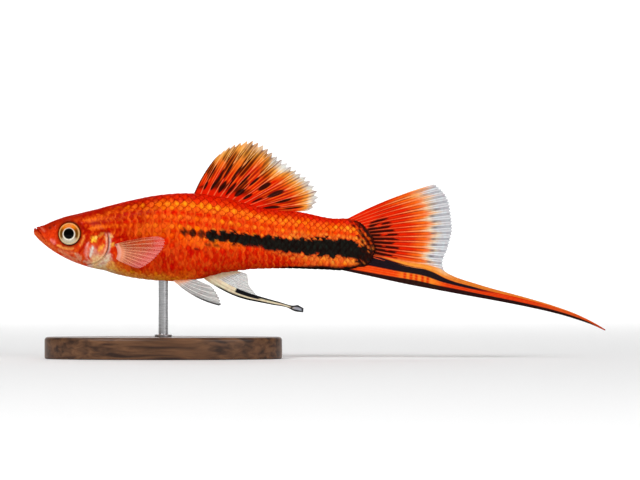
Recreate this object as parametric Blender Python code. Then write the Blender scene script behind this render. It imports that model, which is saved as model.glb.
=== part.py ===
"""Male swordtail, life size, held by one rod on a plain oval base.

The body is modelled whole as rings of egg-shaped sections, then parted into lower jaw,
head, trunk and tail by thin cuts. Fins are thin sheets with their rays raised as ridges.
Each one runs into the body and is then trimmed back to it, so that it meets the body all along its root.
Lengths are in millimetres from the snout tip (x, backwards), the middle plane (y) and the
body's axis (z), and place() turns them into metres with the origin under the rod.
"""

import math

import bmesh
import bpy
import numpy as np

MM = 0.001

# Driving dimensions of the stand, and where the fish sits on it
ROD_FROM_SNOUT = 29.5
AXIS_HEIGHT = 27.0
ROD_RADIUS = 1.1
ROD_SUNK = 1.6
BASE_LENGTH = 54.0
BASE_WIDTH = 27.0
BASE_THICKNESS = 5.0
BASE_BEVEL = 0.8

# Clearance between touching pieces, and how far a cut reaches past the body
GAP = 0.3
CUT_REACH = 12.0
# The left side faces -Y, since the fish faces -X
SIDES = (("left", -1), ("right", 1))

# Driving dimensions of the fish
STANDARD_LENGTH = 77.9
GILL_MARGIN_X = 17.2
TAIL_CUT_X = 57.0
EYE_X, EYE_Z = 8.4, 1.4
EYE_RADIUS = 2.48
EYE_BULGE = 0.75
EYE_DEPTH = 1.6
BROW_HEIGHT = 0.35
BROW_REACH = 3.6
NOSTRIL_X, NOSTRIL_Z = 3.9, 2.7
NOSTRIL_RADIUS = 0.38

# Height of the back, height of the belly and half width, each at its distance from the snout
BACK = (
    (0.0, 1.9), (0.1, 2.3), (0.5, 2.6), (1.2, 3.05), (2.4, 3.4), (3.8, 4.05), (6.5, 5.0),
    (10.6, 6.1), (16.0, 7.5), (22.4, 9.1), (28.0, 10.2), (35.0, 10.7), (42.6, 9.9),
    (53.5, 7.0), (60.6, 5.5), (68.0, 4.95), (72.0, 4.8), (74.6, 3.8), (76.4, 1.9),
    (77.6, -0.6), (STANDARD_LENGTH, -2.5),
)
BELLY = (
    (0.0, 1.9), (0.1, 1.5), (0.5, 0.9), (1.2, 0.1), (2.4, -0.95), (3.8, -2.05), (6.5, -3.7),
    (10.6, -5.5), (16.0, -7.0), (22.4, -8.6), (28.0, -9.3), (33.0, -9.4), (38.0, -8.85),
    (43.0, -7.5), (48.0, -6.85), (56.0, -6.5), (66.0, -6.75), (70.5, -6.9), (74.0, -6.25),
    (76.6, -5.2), (STANDARD_LENGTH, -2.5),
)
HALF_WIDTH = (
    (0.0, 0.0), (0.1, 0.75), (0.5, 1.4), (1.2, 1.9), (2.4, 2.45), (3.8, 2.95), (6.5, 3.75),
    (10.6, 4.5), (16.0, 5.0), (22.0, 5.25), (30.0, 5.25), (38.0, 4.75), (46.0, 3.85),
    (56.0, 2.85), (66.0, 2.1), (72.0, 1.5), (76.0, 0.95), (77.6, 0.65), (STANDARD_LENGTH, 0.0),
)
WIDEST_HEIGHT = (
    (0.0, 1.9), (3.8, 1.2), (8.4, 0.8), (16.0, 0.5), (30.0, 0.2), (45.0, 0.6),
    (60.0, -0.4), (72.0, -1.0), (STANDARD_LENGTH, -2.5),
)
# Power of the section's curve above its widest point: 2 is an ellipse, more is boxier
CROWN_POWER = ((0.0, 2.3), (6.0, 2.7), (16.0, 2.4), (30.0, 2.1), (STANDARD_LENGTH, 2.1))
KEEL_POWER = 2.1

# The mouth, from the front of the gape down to its corner, and on to the jaw's hinge
GAPE_FRONT = (0.6, 2.75)
GAPE_CORNER = (2.55, 0.15)
JAW_HINGE = (5.6, -2.7)
LIP_HEIGHT = 0.2
LIP_REACH = 0.45

# The gill cover's outline is a rounded D about this centre, with these reaches
COVER_CENTRE = (12.4, -0.6)
COVER_REAR = GILL_MARGIN_X - COVER_CENTRE[0]
COVER_FRONT = 0.9
COVER_UP = 4.9
COVER_DOWN = 4.9
COVER_UP_POWER = 2.6
COVER_DOWN_POWER = 2.0
COVER_LIFT = 0.35
COVER_SUNK = 0.45

# Fin thicknesses, as half of the whole
MEMBRANE_HALF = 0.25
RAY_HALF = 0.18
EDGE_HALF = 0.12
ROOT_SUNK = 1.3
FLESH_REACH = 2.0
PECTORAL_LEAN = 20.0
PELVIC_LEAN = 14.0
PELVIC_APART = 1.25


def place(points):
    """Moves points in fish millimetres to the part's own frame, in metres."""
    offset = np.array((-ROD_FROM_SNOUT, 0.0, AXIS_HEIGHT))
    return (np.asarray(points, float) + offset) * MM


def line_through(points):
    """A smooth line through a few (position, value) points, as a function of position."""
    at, value = np.array(points, float).T
    slope = np.gradient(value, at)

    def read(x):
        i = np.clip(np.searchsorted(at, x) - 1, 0, len(at) - 2)
        run = at[i + 1] - at[i]
        t = np.clip((x - at[i]) / run, 0, 1)
        rise = t * t * (3 - 2 * t)
        start = t * (1 - t) ** 2 * slope[i]
        end = t * t * (1 - t) * slope[i + 1]
        return value[i] * (1 - rise) + value[i + 1] * rise + run * (start - end)

    return read


def path_through(points):
    """A smooth path through a few points, as a function of the share of its length from 0 to 1."""
    points = np.array(points, float)
    steps = np.linalg.norm(np.diff(points, axis=0), axis=1)
    share = np.concatenate([[0], np.cumsum(steps)]) / steps.sum()
    axes = [line_through(np.column_stack([share, values])) for values in points.T]
    return lambda t: np.stack([axis(np.asarray(t, float)) for axis in axes], axis=-1)


back, belly = line_through(BACK), line_through(BELLY)
half_width, widest_height = line_through(HALF_WIDTH), line_through(WIDEST_HEIGHT)
crown_power = line_through(CROWN_POWER)


def swell(x, z):
    """How far the skin stands out at a point: lips along the gape, and a low brow round the eye."""
    start, end = np.array(GAPE_FRONT), np.array(GAPE_CORNER)
    along = end - start
    share = np.clip(((x - start[0]) * along[0] + (z - start[1]) * along[1]) / (along @ along), -0.3, 1)
    away = np.hypot(x - start[0] - share * along[0], z - start[1] - share * along[1])
    lips = LIP_HEIGHT * np.exp(-((away / LIP_REACH) ** 2))
    brow = BROW_HEIGHT * np.exp(-((np.hypot(x - EYE_X, z - EYE_Z) / BROW_REACH) ** 4))
    return lips + brow


def body_grid(stations, turns, lift=0.0):
    """Points of the body's surface for each station and turn, lifted along the surface's normal."""
    x = stations[:, None] + 0 * turns
    across, up = np.cos(turns)[None, :], np.sin(turns)[None, :]
    power = np.where(up > 0, crown_power(x), KEEL_POWER)
    middle = widest_height(x)
    reach = np.where(up > 0, back(x) - middle, middle - belly(x))
    y = half_width(x) * np.sign(across) * np.abs(across) ** (2 / power)
    z = middle + reach * np.sign(up) * np.abs(up) ** (2 / power)
    points = np.stack([x, y, z], axis=-1)
    along = np.gradient(points, axis=0)
    around = np.roll(points, -1, axis=1) - np.roll(points, 1, axis=1)
    normal = np.cross(along, around)
    normal /= np.linalg.norm(normal, axis=-1, keepdims=True) + 1e-12
    outward = np.sign((normal * (points - points.mean(axis=1, keepdims=True))).sum(-1, keepdims=True))
    return points + normal * outward * (lift + swell(x, z))[..., None]


def side_height(x, z):
    """Half the body's width at a height, which is y on its side."""
    middle = widest_height(x)
    upper = z > middle
    power = np.where(upper, crown_power(x), KEEL_POWER)
    reach = np.where(upper, back(x) - middle, middle - belly(x))
    inside = 1 - np.abs((z - middle) / reach) ** power
    return half_width(x) * np.clip(inside, 0.02, 1) ** (1 / power)


def side_point(x, z, lift, side):
    """Points on one side of the fish, lifted along the normal there, and those normals."""
    step = 0.05
    y = side_height(x, z)
    slope_x = (side_height(x + step, z) - side_height(x - step, z)) / (2 * step)
    slope_z = (side_height(x, z + step) - side_height(x, z - step)) / (2 * step)
    normal = np.stack([-slope_x, np.ones_like(y), -slope_z], axis=-1)
    normal /= np.linalg.norm(normal, axis=-1, keepdims=True)
    points = np.stack([x, y, z], axis=-1) + normal * np.asarray(lift, float)[..., None]
    return points * (1, side, 1), normal * (1, side, 1)


def new_object(name, mesh, material=None):
    """An object in the scene for a mesh."""
    made = bpy.data.objects.new(name, mesh)
    bpy.context.scene.collection.objects.link(made)
    if material:
        mesh.materials.append(material)
    return made


def new_shell(name, points, faces, material=None):
    """An object from points in fish millimetres, in triangles that face out."""
    mesh = bpy.data.meshes.new(name)
    mesh.from_pydata(place(points).tolist(), [], faces)
    shell = bmesh.new()
    shell.from_mesh(mesh)
    bmesh.ops.recalc_face_normals(shell, faces=shell.faces)
    bmesh.ops.triangulate(shell, faces=shell.faces)
    shell.to_mesh(mesh)
    shell.free()
    return new_object(name, mesh, material)


def finish(name, colour, roughness, metallic=0.0):
    """A painted or bare finish for one kind of piece."""
    material = bpy.data.materials.new(name)
    material.use_nodes = True
    shader = material.node_tree.nodes["Principled BSDF"]
    shader.inputs["Base Color"].default_value = (*colour, 1.0)
    shader.inputs["Roughness"].default_value = roughness
    shader.inputs["Metallic"].default_value = metallic
    return material


def islands(mesh):
    """The separate closed surfaces of a bmesh, as sets of face numbers, largest first."""
    left = set(mesh.faces)
    found = []
    while left:
        reached = {left.pop()}
        edge = set(reached)
        while edge:
            edge = {other for face in edge for side in face.edges for other in side.link_faces} & left
            left -= edge
            reached |= edge
        found.append({face.index for face in reached})
    return sorted(found, key=len, reverse=True)


def keep_faces(mesh, numbers):
    """Drops every face of a bmesh that isn't numbered."""
    bmesh.ops.delete(mesh, geom=[face for face in mesh.faces if face.index not in numbers], context="FACES")


def combine(made, others, operation):
    """Cuts other objects from a piece, or joins them to it, and removes them."""
    for other in others:
        modifier = made.modifiers.new(other.name, "BOOLEAN")
        modifier.operation = operation
        modifier.solver = "EXACT"
        modifier.object = other
    graph = bpy.context.evaluated_depsgraph_get()
    made.data = bpy.data.meshes.new_from_object(made.evaluated_get(graph))
    made.modifiers.clear()
    for other in others:
        bpy.data.objects.remove(other)
    return made


def keep_largest(made):
    """Drops all but the largest closed surface of a piece."""
    mesh = bmesh.new()
    mesh.from_mesh(made.data)
    keep_faces(mesh, islands(mesh)[0])
    mesh.to_mesh(made.data)
    mesh.free()
    return made


def cut_back(made):
    """Trims a piece to the body grown by the gap, so that it meets the skin all along its root."""
    return keep_largest(combine(made, [fish_body("trimmer", GAP)], "DIFFERENCE"))


def loft(name, rings, material=None):
    """A closed body from rings of points, each end closed onto its ring's middle."""
    rings = np.asarray(rings, float)
    count, around = rings.shape[:2]
    points = np.vstack([rings.reshape(-1, 3), rings[0].mean(0), rings[-1].mean(0)])
    index = np.arange(count * around).reshape(count, around)
    following = np.roll(index, -1, axis=1)
    sides = np.stack([index[:-1], following[:-1], following[1:], index[1:]], axis=-1).reshape(-1, 4)
    first = [[count * around, b, a] for a, b in zip(index[0], following[0])]
    last = [[count * around + 1, a, b] for a, b in zip(index[-1], following[-1])]
    return new_shell(name, points, sides.tolist() + first + last, material)


def sheet(name, near, far, material=None):
    """A thin body between two matching grids, split into triangles alike on both faces."""
    rows, columns = near.shape[:2]
    index = np.arange(rows * columns).reshape(rows, columns)
    a, b, c, d = index[:-1, :-1], index[1:, :-1], index[1:, 1:], index[:-1, 1:]
    face = np.concatenate([np.stack(three, -1).reshape(-1, 3) for three in ((a, b, c), (a, c, d))])
    rim = np.concatenate([index[0, :-1], index[:-1, -1], index[-1, :0:-1], index[:0:-1, 0]])
    after = np.roll(rim, -1)
    shift = rows * columns
    sides = np.concatenate([
        np.stack([rim, after, after + shift], -1), np.stack([rim, after + shift, rim + shift], -1)
    ])
    faces = np.concatenate([face, face[:, ::-1] + shift, sides])
    return new_shell(name, np.concatenate([near.reshape(-1, 3), far.reshape(-1, 3)]), faces.tolist(), material)


def fish_body(name, lift=0.0, material=None):
    """The whole body, from the snout to the end of the scaled tail base."""
    tip = [0.02, 0.12, 0.3]
    snout = np.linspace(0.6, 6.0, 10)
    head = np.linspace(7.0, 18.0, 10)
    trunk = np.linspace(21.0, 55.5, 12)
    tail = np.linspace(58.5, 74.8, 8)
    stub = [76.1, 77.0, 77.5, 77.8]
    stations = np.concatenate([tip, snout, head, trunk, tail, stub])
    turns = np.linspace(0, 2 * math.pi, 32, endpoint=False)
    return loft(name, body_grid(stations, turns, lift), material)


def curtain(name, line):
    """A sheet as thick as the gap along a line seen from the side, for parting the body."""
    line = np.array(line, float)
    run = np.gradient(line, axis=0)
    normal = np.stack([-run[:, 1], run[:, 0]], axis=-1) / np.linalg.norm(run, axis=-1, keepdims=True)
    sides = [line + normal * GAP / 2, line - normal * GAP / 2]
    rings = []
    for near, far in zip(*sides):
        corners = ((near, -CUT_REACH), (near, CUT_REACH), (far, CUT_REACH), (far, -CUT_REACH))
        rings.append([(p[0], y, p[1]) for p, y in corners])
    return loft(name, rings)


def cover_outline(angle, grow=0.0):
    """The gill cover's outline seen from the side: four quarters of rounded boxes, grown evenly."""
    angle = np.asarray(angle, float)
    c, s = np.cos(angle), np.sin(angle)
    reach_x = np.where(c > 0, COVER_REAR, COVER_FRONT) + grow
    reach_z = np.where(s > 0, COVER_UP, COVER_DOWN) + grow
    power = np.where(s > 0, COVER_UP_POWER, COVER_DOWN_POWER)
    x = COVER_CENTRE[0] + reach_x * np.sign(c) * np.abs(c) ** (2 / power)
    z = COVER_CENTRE[1] + reach_z * np.sign(s) * np.abs(s) ** (2 / power)
    return x, z


def gill_line():
    """The head's rear limit: down from the nape, round behind the gill covers, and forward to the throat."""
    x, z = cover_outline(np.radians(np.linspace(28, -72, 14)), GAP)
    nape = [(19.2, 12.0), (18.6, 7.8), (17.9, 4.6)]
    throat = [(11.6, -6.0), (10.2, -8.0)]
    return nape + list(zip(x, z)) + throat


def cover_face(grow, lift_front, lift_rear, side):
    """Rings of points over the gill cover's outline, out from its middle, lifted from the body."""
    share = np.linspace(0, 1, 5)[1:, None]
    angle = np.linspace(0, 2 * math.pi, 24, endpoint=False)[None, :]
    edge_x, edge_z = cover_outline(angle, grow)
    middle_x, middle_z = COVER_CENTRE[0] + (COVER_REAR - COVER_FRONT) / 2, COVER_CENTRE[1]
    x = middle_x + (edge_x - middle_x) * share
    z = middle_z + (edge_z - middle_z) * share
    rearward = np.clip((x - COVER_CENTRE[0] + COVER_FRONT) / (COVER_REAR + COVER_FRONT), 0, 1)
    points, _ = side_point(x, z, lift_front + (lift_rear - lift_front) * rearward, side)
    return points


def cover_plate(name, grow, outer, inner, side, material=None):
    """A plate over the gill cover's outline, between lifts (front, rear) of its outer and inner face."""
    top = cover_face(grow, *outer, side)
    low = cover_face(grow, *inner, side)
    return loft(name, np.concatenate([top, low[::-1]]), material)


def turned_on_side(name, profile, x, z, side, material=None):
    """A round piece turned about the body's normal at a point of its side. The profile is (radius, height)."""
    point, normal = side_point(np.array([x]), np.array([z]), 0.0, side)
    first = np.cross(normal[0], (0, 0, 1))
    first /= np.linalg.norm(first)
    second = np.cross(normal[0], first)
    angle = np.linspace(0, 2 * math.pi, 20, endpoint=False)[:, None]
    spokes = np.cos(angle) * first + np.sin(angle) * second
    rings = [point[0] + normal[0] * height + spokes * radius for radius, height in profile]
    return loft(name, rings, material)


def lens_profile(radius, front, rear, steps=4):
    """A lens: a low dome in front of its widest circle and a deeper one behind it."""
    turn = np.radians(np.linspace(80, -80, 2 * steps + 1))
    height = np.where(turn > 0, front, rear) * np.sin(turn)
    return list(zip(radius * np.cos(turn), height))


def fin(name, root, tip, bow, rays, rows, notch, material, spread=None, flesh=0.0, ray=RAY_HALF):
    """A fin with its rays raised as ridges on both faces, out to their tips.

    Each ray is a bowed line from its place on the root line to its place on the tip line, and starts
    inside the body. Between rays the membrane is thinner and stops short of the ray tips. spread moves
    the flat fin off the middle plane, and flesh thickens it at its root.
    """
    across = np.linspace(0, 1, 3 * (rays - 1) + 1)
    on_ray = np.arange(len(across)) % 3 == 0
    start, end = root(across), tip(across)
    length = np.linalg.norm(end - start, axis=-1)
    way = (end - start) / length[:, None]
    normal = np.stack([-way[:, 1], way[:, 0]], axis=-1)
    u = np.linspace(0, 1, rows)[:, None]
    along = -ROOT_SUNK + (length * np.where(on_ray, 1.0, 1.0 - notch) + ROOT_SUNK) * u
    share = np.clip(along / length, 0, 1)
    flat = start + way * along[..., None] + normal * (bow(across) * 4 * share * (1 - share))[..., None]
    thin = np.clip((1 - u) / 0.12, 0, 1)
    half = EDGE_HALF + (MEMBRANE_HALF - EDGE_HALF) * thin + flesh * np.clip(1 - along / FLESH_REACH, 0, 1)
    half = half + np.where(on_ray, ray, 0) * (1 - 0.75 * u)
    out = spread(along, start) if spread else 0.0
    near, far = (np.stack([flat[..., 0], out + side * half, flat[..., 1]], axis=-1) for side in (-1, 1))
    return cut_back(sheet(name, near, far, material))


def build_body(skin):
    """Parts the whole body with thin cuts, and names its pieces from the snout back."""
    mouth = [(-0.6, 4.0), GAPE_FRONT, (1.7, 1.5), GAPE_CORNER, (4.3, -1.3), JAW_HINGE, (6.4, -5.5)]
    tail = [(TAIL_CUT_X, CUT_REACH), (TAIL_CUT_X, 0.0), (TAIL_CUT_X, -CUT_REACH)]
    cuts = [curtain("mouth_cut", mouth), curtain("gill_cut", gill_line()), curtain("tail_cut", tail)]
    whole = combine(fish_body("whole"), cuts, "DIFFERENCE")
    mesh = bmesh.new()
    mesh.from_mesh(whole.data)
    bpy.data.objects.remove(whole)
    pieces = islands(mesh)[:4]
    mesh.faces.ensure_lookup_table()
    pieces.sort(key=lambda numbers: min(mesh.faces[n].calc_center_median().x for n in numbers))
    made = {}
    for name, numbers in zip(("lower_jaw", "head", "trunk", "tail"), pieces):
        part = mesh.copy()
        keep_faces(part, numbers)
        data = bpy.data.meshes.new(name)
        part.to_mesh(data)
        part.free()
        made[name] = new_object(name, data, skin)
    mesh.free()
    return made


def build_head_details(head, cover_finish, eye_finish):
    """Gill covers, eyes and nostrils, each let into the head."""
    cutters = []
    outer, inner = (0.05, COVER_LIFT), (-COVER_SUNK, -COVER_SUNK)
    above, floor = (2.0, 2.0), (-COVER_SUNK - GAP, -COVER_SUNK - GAP)
    for word, side in SIDES:
        cover_plate("gill_cover_" + word, 0.0, outer, inner, side, cover_finish)
        cutters.append(cover_plate("recess_" + word, GAP, above, floor, side))
        lens = lens_profile(EYE_RADIUS, EYE_BULGE, EYE_DEPTH)
        turned_on_side("eye_" + word, lens, EYE_X, EYE_Z, side, eye_finish)
        socket = lens_profile(EYE_RADIUS + GAP, EYE_BULGE + 1.0, EYE_DEPTH + GAP)
        cutters.append(turned_on_side("socket_" + word, socket, EYE_X, EYE_Z, side))
        pit = lens_profile(NOSTRIL_RADIUS, 0.4, 0.5, 2)
        cutters.append(turned_on_side("nostril_" + word, pit, NOSTRIL_X, NOSTRIL_Z, side))
    keep_largest(combine(head, cutters, "DIFFERENCE"))


def build_dorsal_fin(material):
    """A tall sail of 13 rays, highest near its front and reaching back over the tail."""
    root = path_through([(36.5, 10.6), (42.6, 9.7), (47.2, 8.8), (53.9, 6.7)])
    tip = path_through([
        (42.0, 19.4), (46.6, 22.0), (50.6, 22.3), (53.6, 20.6), (56.2, 17.9), (61.5, 14.4), (64.4, 10.6),
        (64.5, 7.6), (61.4, 6.55),
    ])
    fin("dorsal_fin", root, tip, lambda v: 0.45 - 0.85 * v, 13, 7, 0.035, material)


def build_caudal_fin(material):
    """The tail's fan of 16 rays, from its upper edge down to the sword."""
    root = path_through([(71.6, 5.0), (74.3, 3.9), (76.3, 1.9), (77.4, -0.4), (77.9, -3.1)])
    tip = path_through([(91.4, 12.75), (94.0, 10.0), (95.1, 6.0), (95.2, 1.8), (94.4, -1.8), (93.0, -6.05)])
    fin("caudal_fin", root, tip, lambda v: 0.6 - 1.0 * v, 16, 6, 0.02, material)


def build_sword(material):
    """The long lower rays of the tail: a ridged blade that wraps the tail's lower corner, then narrows."""
    upper = path_through([
        (76.9, -3.6), (78.2, -3.75), (85.0, -5.05), (92.4, -6.55), (94.6, -7.8), (101.5, -10.2),
        (112.4, -13.2), (117.8, -14.8), (123.3, -16.8), (127.4, -18.8), (130.0, -20.35),
    ])
    lower = path_through([
        (69.6, -6.9), (74.2, -7.8), (85.1, -10.1), (96.0, -12.15), (112.4, -15.25), (117.8, -16.45),
        (123.3, -18.0), (127.4, -19.45), (129.9, -20.6),
    ])
    corner = path_through([(76.9, -3.6), (76.6, -4.4), (75.2, -5.4), (72.8, -6.2), (69.6, -6.9)])
    rays, rows = 6, 18
    across = np.linspace(0, 1, 3 * (rays - 1) + 1)[:, None]
    on_ray = np.arange(len(across)) % 3 == 0
    u = np.linspace(0, 1, rows)[:, None] ** 1.15
    top, low = upper(u), lower(u)
    straight = upper(0.0) + (lower(0.0) - upper(0.0)) * across
    flat = top + (low - top) * across + (corner(across[:, 0]) - straight) * (1 - u[..., None]) ** 6
    thin = np.clip((1 - u) / 0.1, 0, 1)
    half = EDGE_HALF + (MEMBRANE_HALF - EDGE_HALF) * thin + np.where(on_ray, RAY_HALF, 0) * (1 - 0.7 * u)
    near, far = (np.stack([flat[..., 0], side * half, flat[..., 1]], axis=-1) for side in (-1, 1))
    cut_back(sheet("sword", near, far, material))


def build_pectoral_fins(material):
    """Broad paddles just behind the gill covers, rooted in a fleshy base and held out from the sides."""
    root = path_through([(18.8, -0.9), (19.4, -2.0), (19.5, -3.2), (19.2, -4.4)])
    tip = path_through([
        (24.6, 1.0), (28.3, 1.2), (30.4, -0.4), (29.9, -2.2), (28.6, -4.0), (26.2, -5.7), (23.6, -6.2),
        (21.6, -5.3),
    ])
    lean = math.tan(math.radians(PECTORAL_LEAN))
    for word, side in SIDES:
        def spread(along, start, side=side):
            return side * (side_height(start[:, 0], start[:, 1]) + np.where(along > 0, lean, 0.9) * along)
        fin("pectoral_fin_" + word, root, tip, lambda v: 0.25 - 0.5 * v, 11, 7, 0.03, material, spread,
            0.2, 0.12)


def build_pelvic_fins(material):
    """A pair of narrow fins under the belly, with their front rays longest."""
    root = path_through([(31.8, -9.2), (33.7, -9.2), (36.0, -9.0)])
    tip = path_through([(42.8, -15.0), (42.4, -13.5), (41.5, -11.8), (40.3, -10.5), (38.3, -9.7)])
    lean = math.tan(math.radians(PELVIC_LEAN))
    for word, side in SIDES:
        def spread(along, start, side=side):
            return side * (PELVIC_APART + lean * along)
        fin("pelvic_fin_" + word, root, tip, lambda v: -0.9 + 1.1 * v, 6, 6, 0.03, material, spread, 0.1, 0.12)


def build_gonopodium(material):
    """The male's anal fin: its front rays form a long rod with a hooded tip, and the rest a small fan."""
    under = path_through([
        (37.6, -7.4), (38.8, -8.8), (40.2, -9.8), (42.4, -10.9), (45.2, -12.15), (48.1, -13.05),
        (51.3, -13.7), (54.4, -14.35), (57.6, -15.15), (59.4, -16.05), (61.3, -16.3),
    ])
    depth = line_through([
        (0.0, 1.9), (0.3, 1.6), (0.55, 1.15), (0.75, 0.75), (0.86, 0.6), (0.94, 1.2), (1.0, 0.75),
    ])
    thick = line_through([(0.0, 0.55), (0.5, 0.42), (0.86, 0.28), (0.94, 0.36), (1.0, 0.25)])
    t = np.linspace(0, 1, 20)
    low = under(t)
    run = np.gradient(low, axis=0)
    up = np.stack([-run[:, 1], run[:, 0]], -1) / np.linalg.norm(run, axis=-1, keepdims=True)
    angle = np.linspace(0, 2 * math.pi, 8, endpoint=False)
    level = depth(t)[:, None] * (0.5 + 0.5 * np.sin(angle))
    in_plane = low[:, None, :] + up[:, None, :] * level[..., None]
    rings = np.stack([in_plane[..., 0], thick(t)[:, None] * np.cos(angle), in_plane[..., 1]], -1)
    rod = cut_back(loft("gonopodium", rings, material))
    root = path_through([(40.2, -8.7), (43.0, -7.9), (47.2, -7.3)])
    tip = path_through([(51.0, -12.7), (49.9, -11.4), (49.0, -10.2), (48.8, -8.8), (48.6, -7.75)])
    fan = fin("fan", root, tip, lambda v: -0.45 + 0.5 * v, 7, 5, 0.03, material)
    keep_largest(combine(rod, [fan], "UNION"))


def build_stand(wood, steel):
    """An oval base with a rounded upper edge, and one rod up to the belly."""
    angle = np.linspace(0, 2 * math.pi, 48, endpoint=False)

    def oval(height, inset):
        across = np.cos(angle) * (BASE_LENGTH / 2 - inset)
        deep = np.sin(angle) * (BASE_WIDTH / 2 - inset)
        return np.stack([across + ROD_FROM_SNOUT, deep, 0 * deep + height - AXIS_HEIGHT], -1)

    step = BASE_BEVEL * (1 - math.sqrt(0.5))
    rings = [oval(0.0, 0.0), oval(BASE_THICKNESS - BASE_BEVEL, 0.0), oval(BASE_THICKNESS - step, step),
             oval(BASE_THICKNESS, BASE_BEVEL)]
    loft("stand_base", rings, wood)
    turn = np.linspace(0, 2 * math.pi, 20, endpoint=False)
    top = float(belly(np.array(ROD_FROM_SNOUT))) + ROD_SUNK
    levels = [BASE_THICKNESS + GAP - AXIS_HEIGHT, top]
    circle = [np.cos(turn) * ROD_RADIUS + ROD_FROM_SNOUT, np.sin(turn) * ROD_RADIUS]
    cut_back(loft("stand_rod", [np.stack([*circle, 0 * turn + level], -1) for level in levels], steel))


def main():
    for old in list(bpy.data.objects):
        bpy.data.objects.remove(old)
    skin = finish("red_skin", (0.80, 0.10, 0.015), 0.35)
    cover = finish("gill_cover_skin", (0.80, 0.22, 0.08), 0.30)
    eye = finish("gold_eye", (0.75, 0.50, 0.18), 0.12)
    red_fin = finish("red_fin", (0.85, 0.20, 0.04), 0.40)
    pink_fin = finish("pink_fin", (0.85, 0.36, 0.24), 0.40)
    clear_fin = finish("clear_fin", (0.72, 0.70, 0.64), 0.40)
    wood = finish("base_wood", (0.16, 0.08, 0.04), 0.45)
    steel = finish("rod_steel", (0.62, 0.62, 0.63), 0.25, 1.0)
    pieces = build_body(skin)
    build_head_details(pieces["head"], cover, eye)
    build_dorsal_fin(red_fin)
    build_caudal_fin(red_fin)
    build_sword(red_fin)
    build_pectoral_fins(pink_fin)
    build_pelvic_fins(clear_fin)
    build_gonopodium(clear_fin)
    build_stand(wood, steel)
    for made in bpy.context.scene.objects:
        made.data.shade_smooth()
        made.data.set_sharp_from_angle(angle=math.radians(40))


main()
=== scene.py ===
"""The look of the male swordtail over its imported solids.

Lengths are in fish millimetres: x runs back from the snout tip, y across from the middle plane
(the left side is below zero) and z up from the body's axis. add_piece() puts them in the part's frame.
Colours are linear red, green and blue.
"""

import math

import bpy
import numpy as np
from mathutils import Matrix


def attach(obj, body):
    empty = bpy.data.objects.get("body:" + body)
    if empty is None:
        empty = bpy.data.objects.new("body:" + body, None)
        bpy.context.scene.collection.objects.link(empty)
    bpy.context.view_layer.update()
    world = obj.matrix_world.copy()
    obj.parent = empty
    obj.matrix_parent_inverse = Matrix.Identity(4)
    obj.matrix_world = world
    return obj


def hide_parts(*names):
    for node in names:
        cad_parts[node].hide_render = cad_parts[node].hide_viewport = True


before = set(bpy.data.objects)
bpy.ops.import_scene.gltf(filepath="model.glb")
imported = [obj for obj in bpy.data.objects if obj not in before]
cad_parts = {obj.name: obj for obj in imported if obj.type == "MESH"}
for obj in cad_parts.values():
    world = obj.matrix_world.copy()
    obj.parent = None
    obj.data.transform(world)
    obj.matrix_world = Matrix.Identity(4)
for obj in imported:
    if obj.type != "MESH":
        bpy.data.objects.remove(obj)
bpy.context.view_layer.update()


# The body's skin. In life it is one wet hide over the flesh, from the lips to the root of the tail fin.
# Here it is one closed surface over the egg-shaped sections of the body, with the mouth, nostrils,
# eye sockets and gill openings folded into it. Behind the gills it lies lower, to leave room for the scales.
ROD_FROM_SNOUT, AXIS_HEIGHT = 29.5, 27.0
BODY_END = 77.9
BACK = (
    (0.0, 1.9), (0.1, 2.3), (0.5, 2.6), (1.2, 3.05), (2.4, 3.4), (3.8, 4.05), (6.5, 5.0), (10.6, 6.1),
    (16.0, 7.5), (22.4, 9.1), (28.0, 10.2), (35.0, 10.7), (42.6, 9.9), (53.5, 7.0), (60.55, 6.4),
    (68.0, 4.95), (72.0, 4.8), (74.6, 3.8), (76.4, 1.9), (77.6, -0.6), (BODY_END, -2.5),
)
BELLY = (
    (0.0, 1.9), (0.1, 1.5), (0.5, 0.9), (1.2, 0.1), (2.4, -0.95), (3.8, -2.05), (6.5, -3.7),
    (10.6, -5.5), (16.0, -7.0), (22.4, -8.6), (28.0, -9.3), (33.0, -9.4), (38.0, -8.85),
    (43.0, -7.5), (48.0, -6.85), (56.0, -6.5), (66.0, -6.75), (70.5, -6.9), (74.0, -6.25),
    (76.6, -5.2), (BODY_END, -2.5),
)
HALF_WIDTH = (
    (0.0, 0.0), (0.1, 0.75), (0.5, 1.4), (1.2, 1.9), (2.4, 2.45), (3.8, 2.95), (6.5, 3.75),
    (10.6, 4.5), (16.0, 5.0), (22.0, 5.25), (30.0, 5.25), (38.0, 4.75), (46.0, 3.85), (56.0, 2.85),
    (66.0, 2.1), (72.0, 1.5), (76.0, 0.95), (77.6, 0.65), (BODY_END, 0.0),
)
WIDEST_HEIGHT = (
    (0.0, 1.9), (3.8, 1.2), (8.4, 0.8), (16.0, 0.5), (30.0, 0.2), (45.0, 0.6), (60.0, -0.4),
    (72.0, -1.0), (BODY_END, -2.5),
)
CROWN_POWER = ((0.0, 2.3), (6.0, 2.7), (16.0, 2.4), (30.0, 2.1), (BODY_END, 2.1))
KEEL_POWER = 2.1
# The line along which the middle row of scales runs
SIDE_LINE = (
    (0.0, 1.9), (10.0, 2.2), (17.0, 2.3), (33.6, 1.9), (38.0, 1.4), (45.0, 0.7), (58.0, -0.4),
    (65.0, -0.9), (72.0, -1.3), (BODY_END, -2.6),
)
SIDE_SHARES = 112
# How much lower the skin lies under the scales
COAT_ROOM = 0.16
EYE_X, EYE_Z = 8.4, 1.42
GAPE = ((-0.6, 4.2), (0.6, 2.75), (1.7, 1.5), (2.55, 0.15), (2.8, -0.2))
GILL_CENTRE, GILL_REACH, GILL_HEIGHT = (12.4, -0.6), 4.8, 4.9
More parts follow.
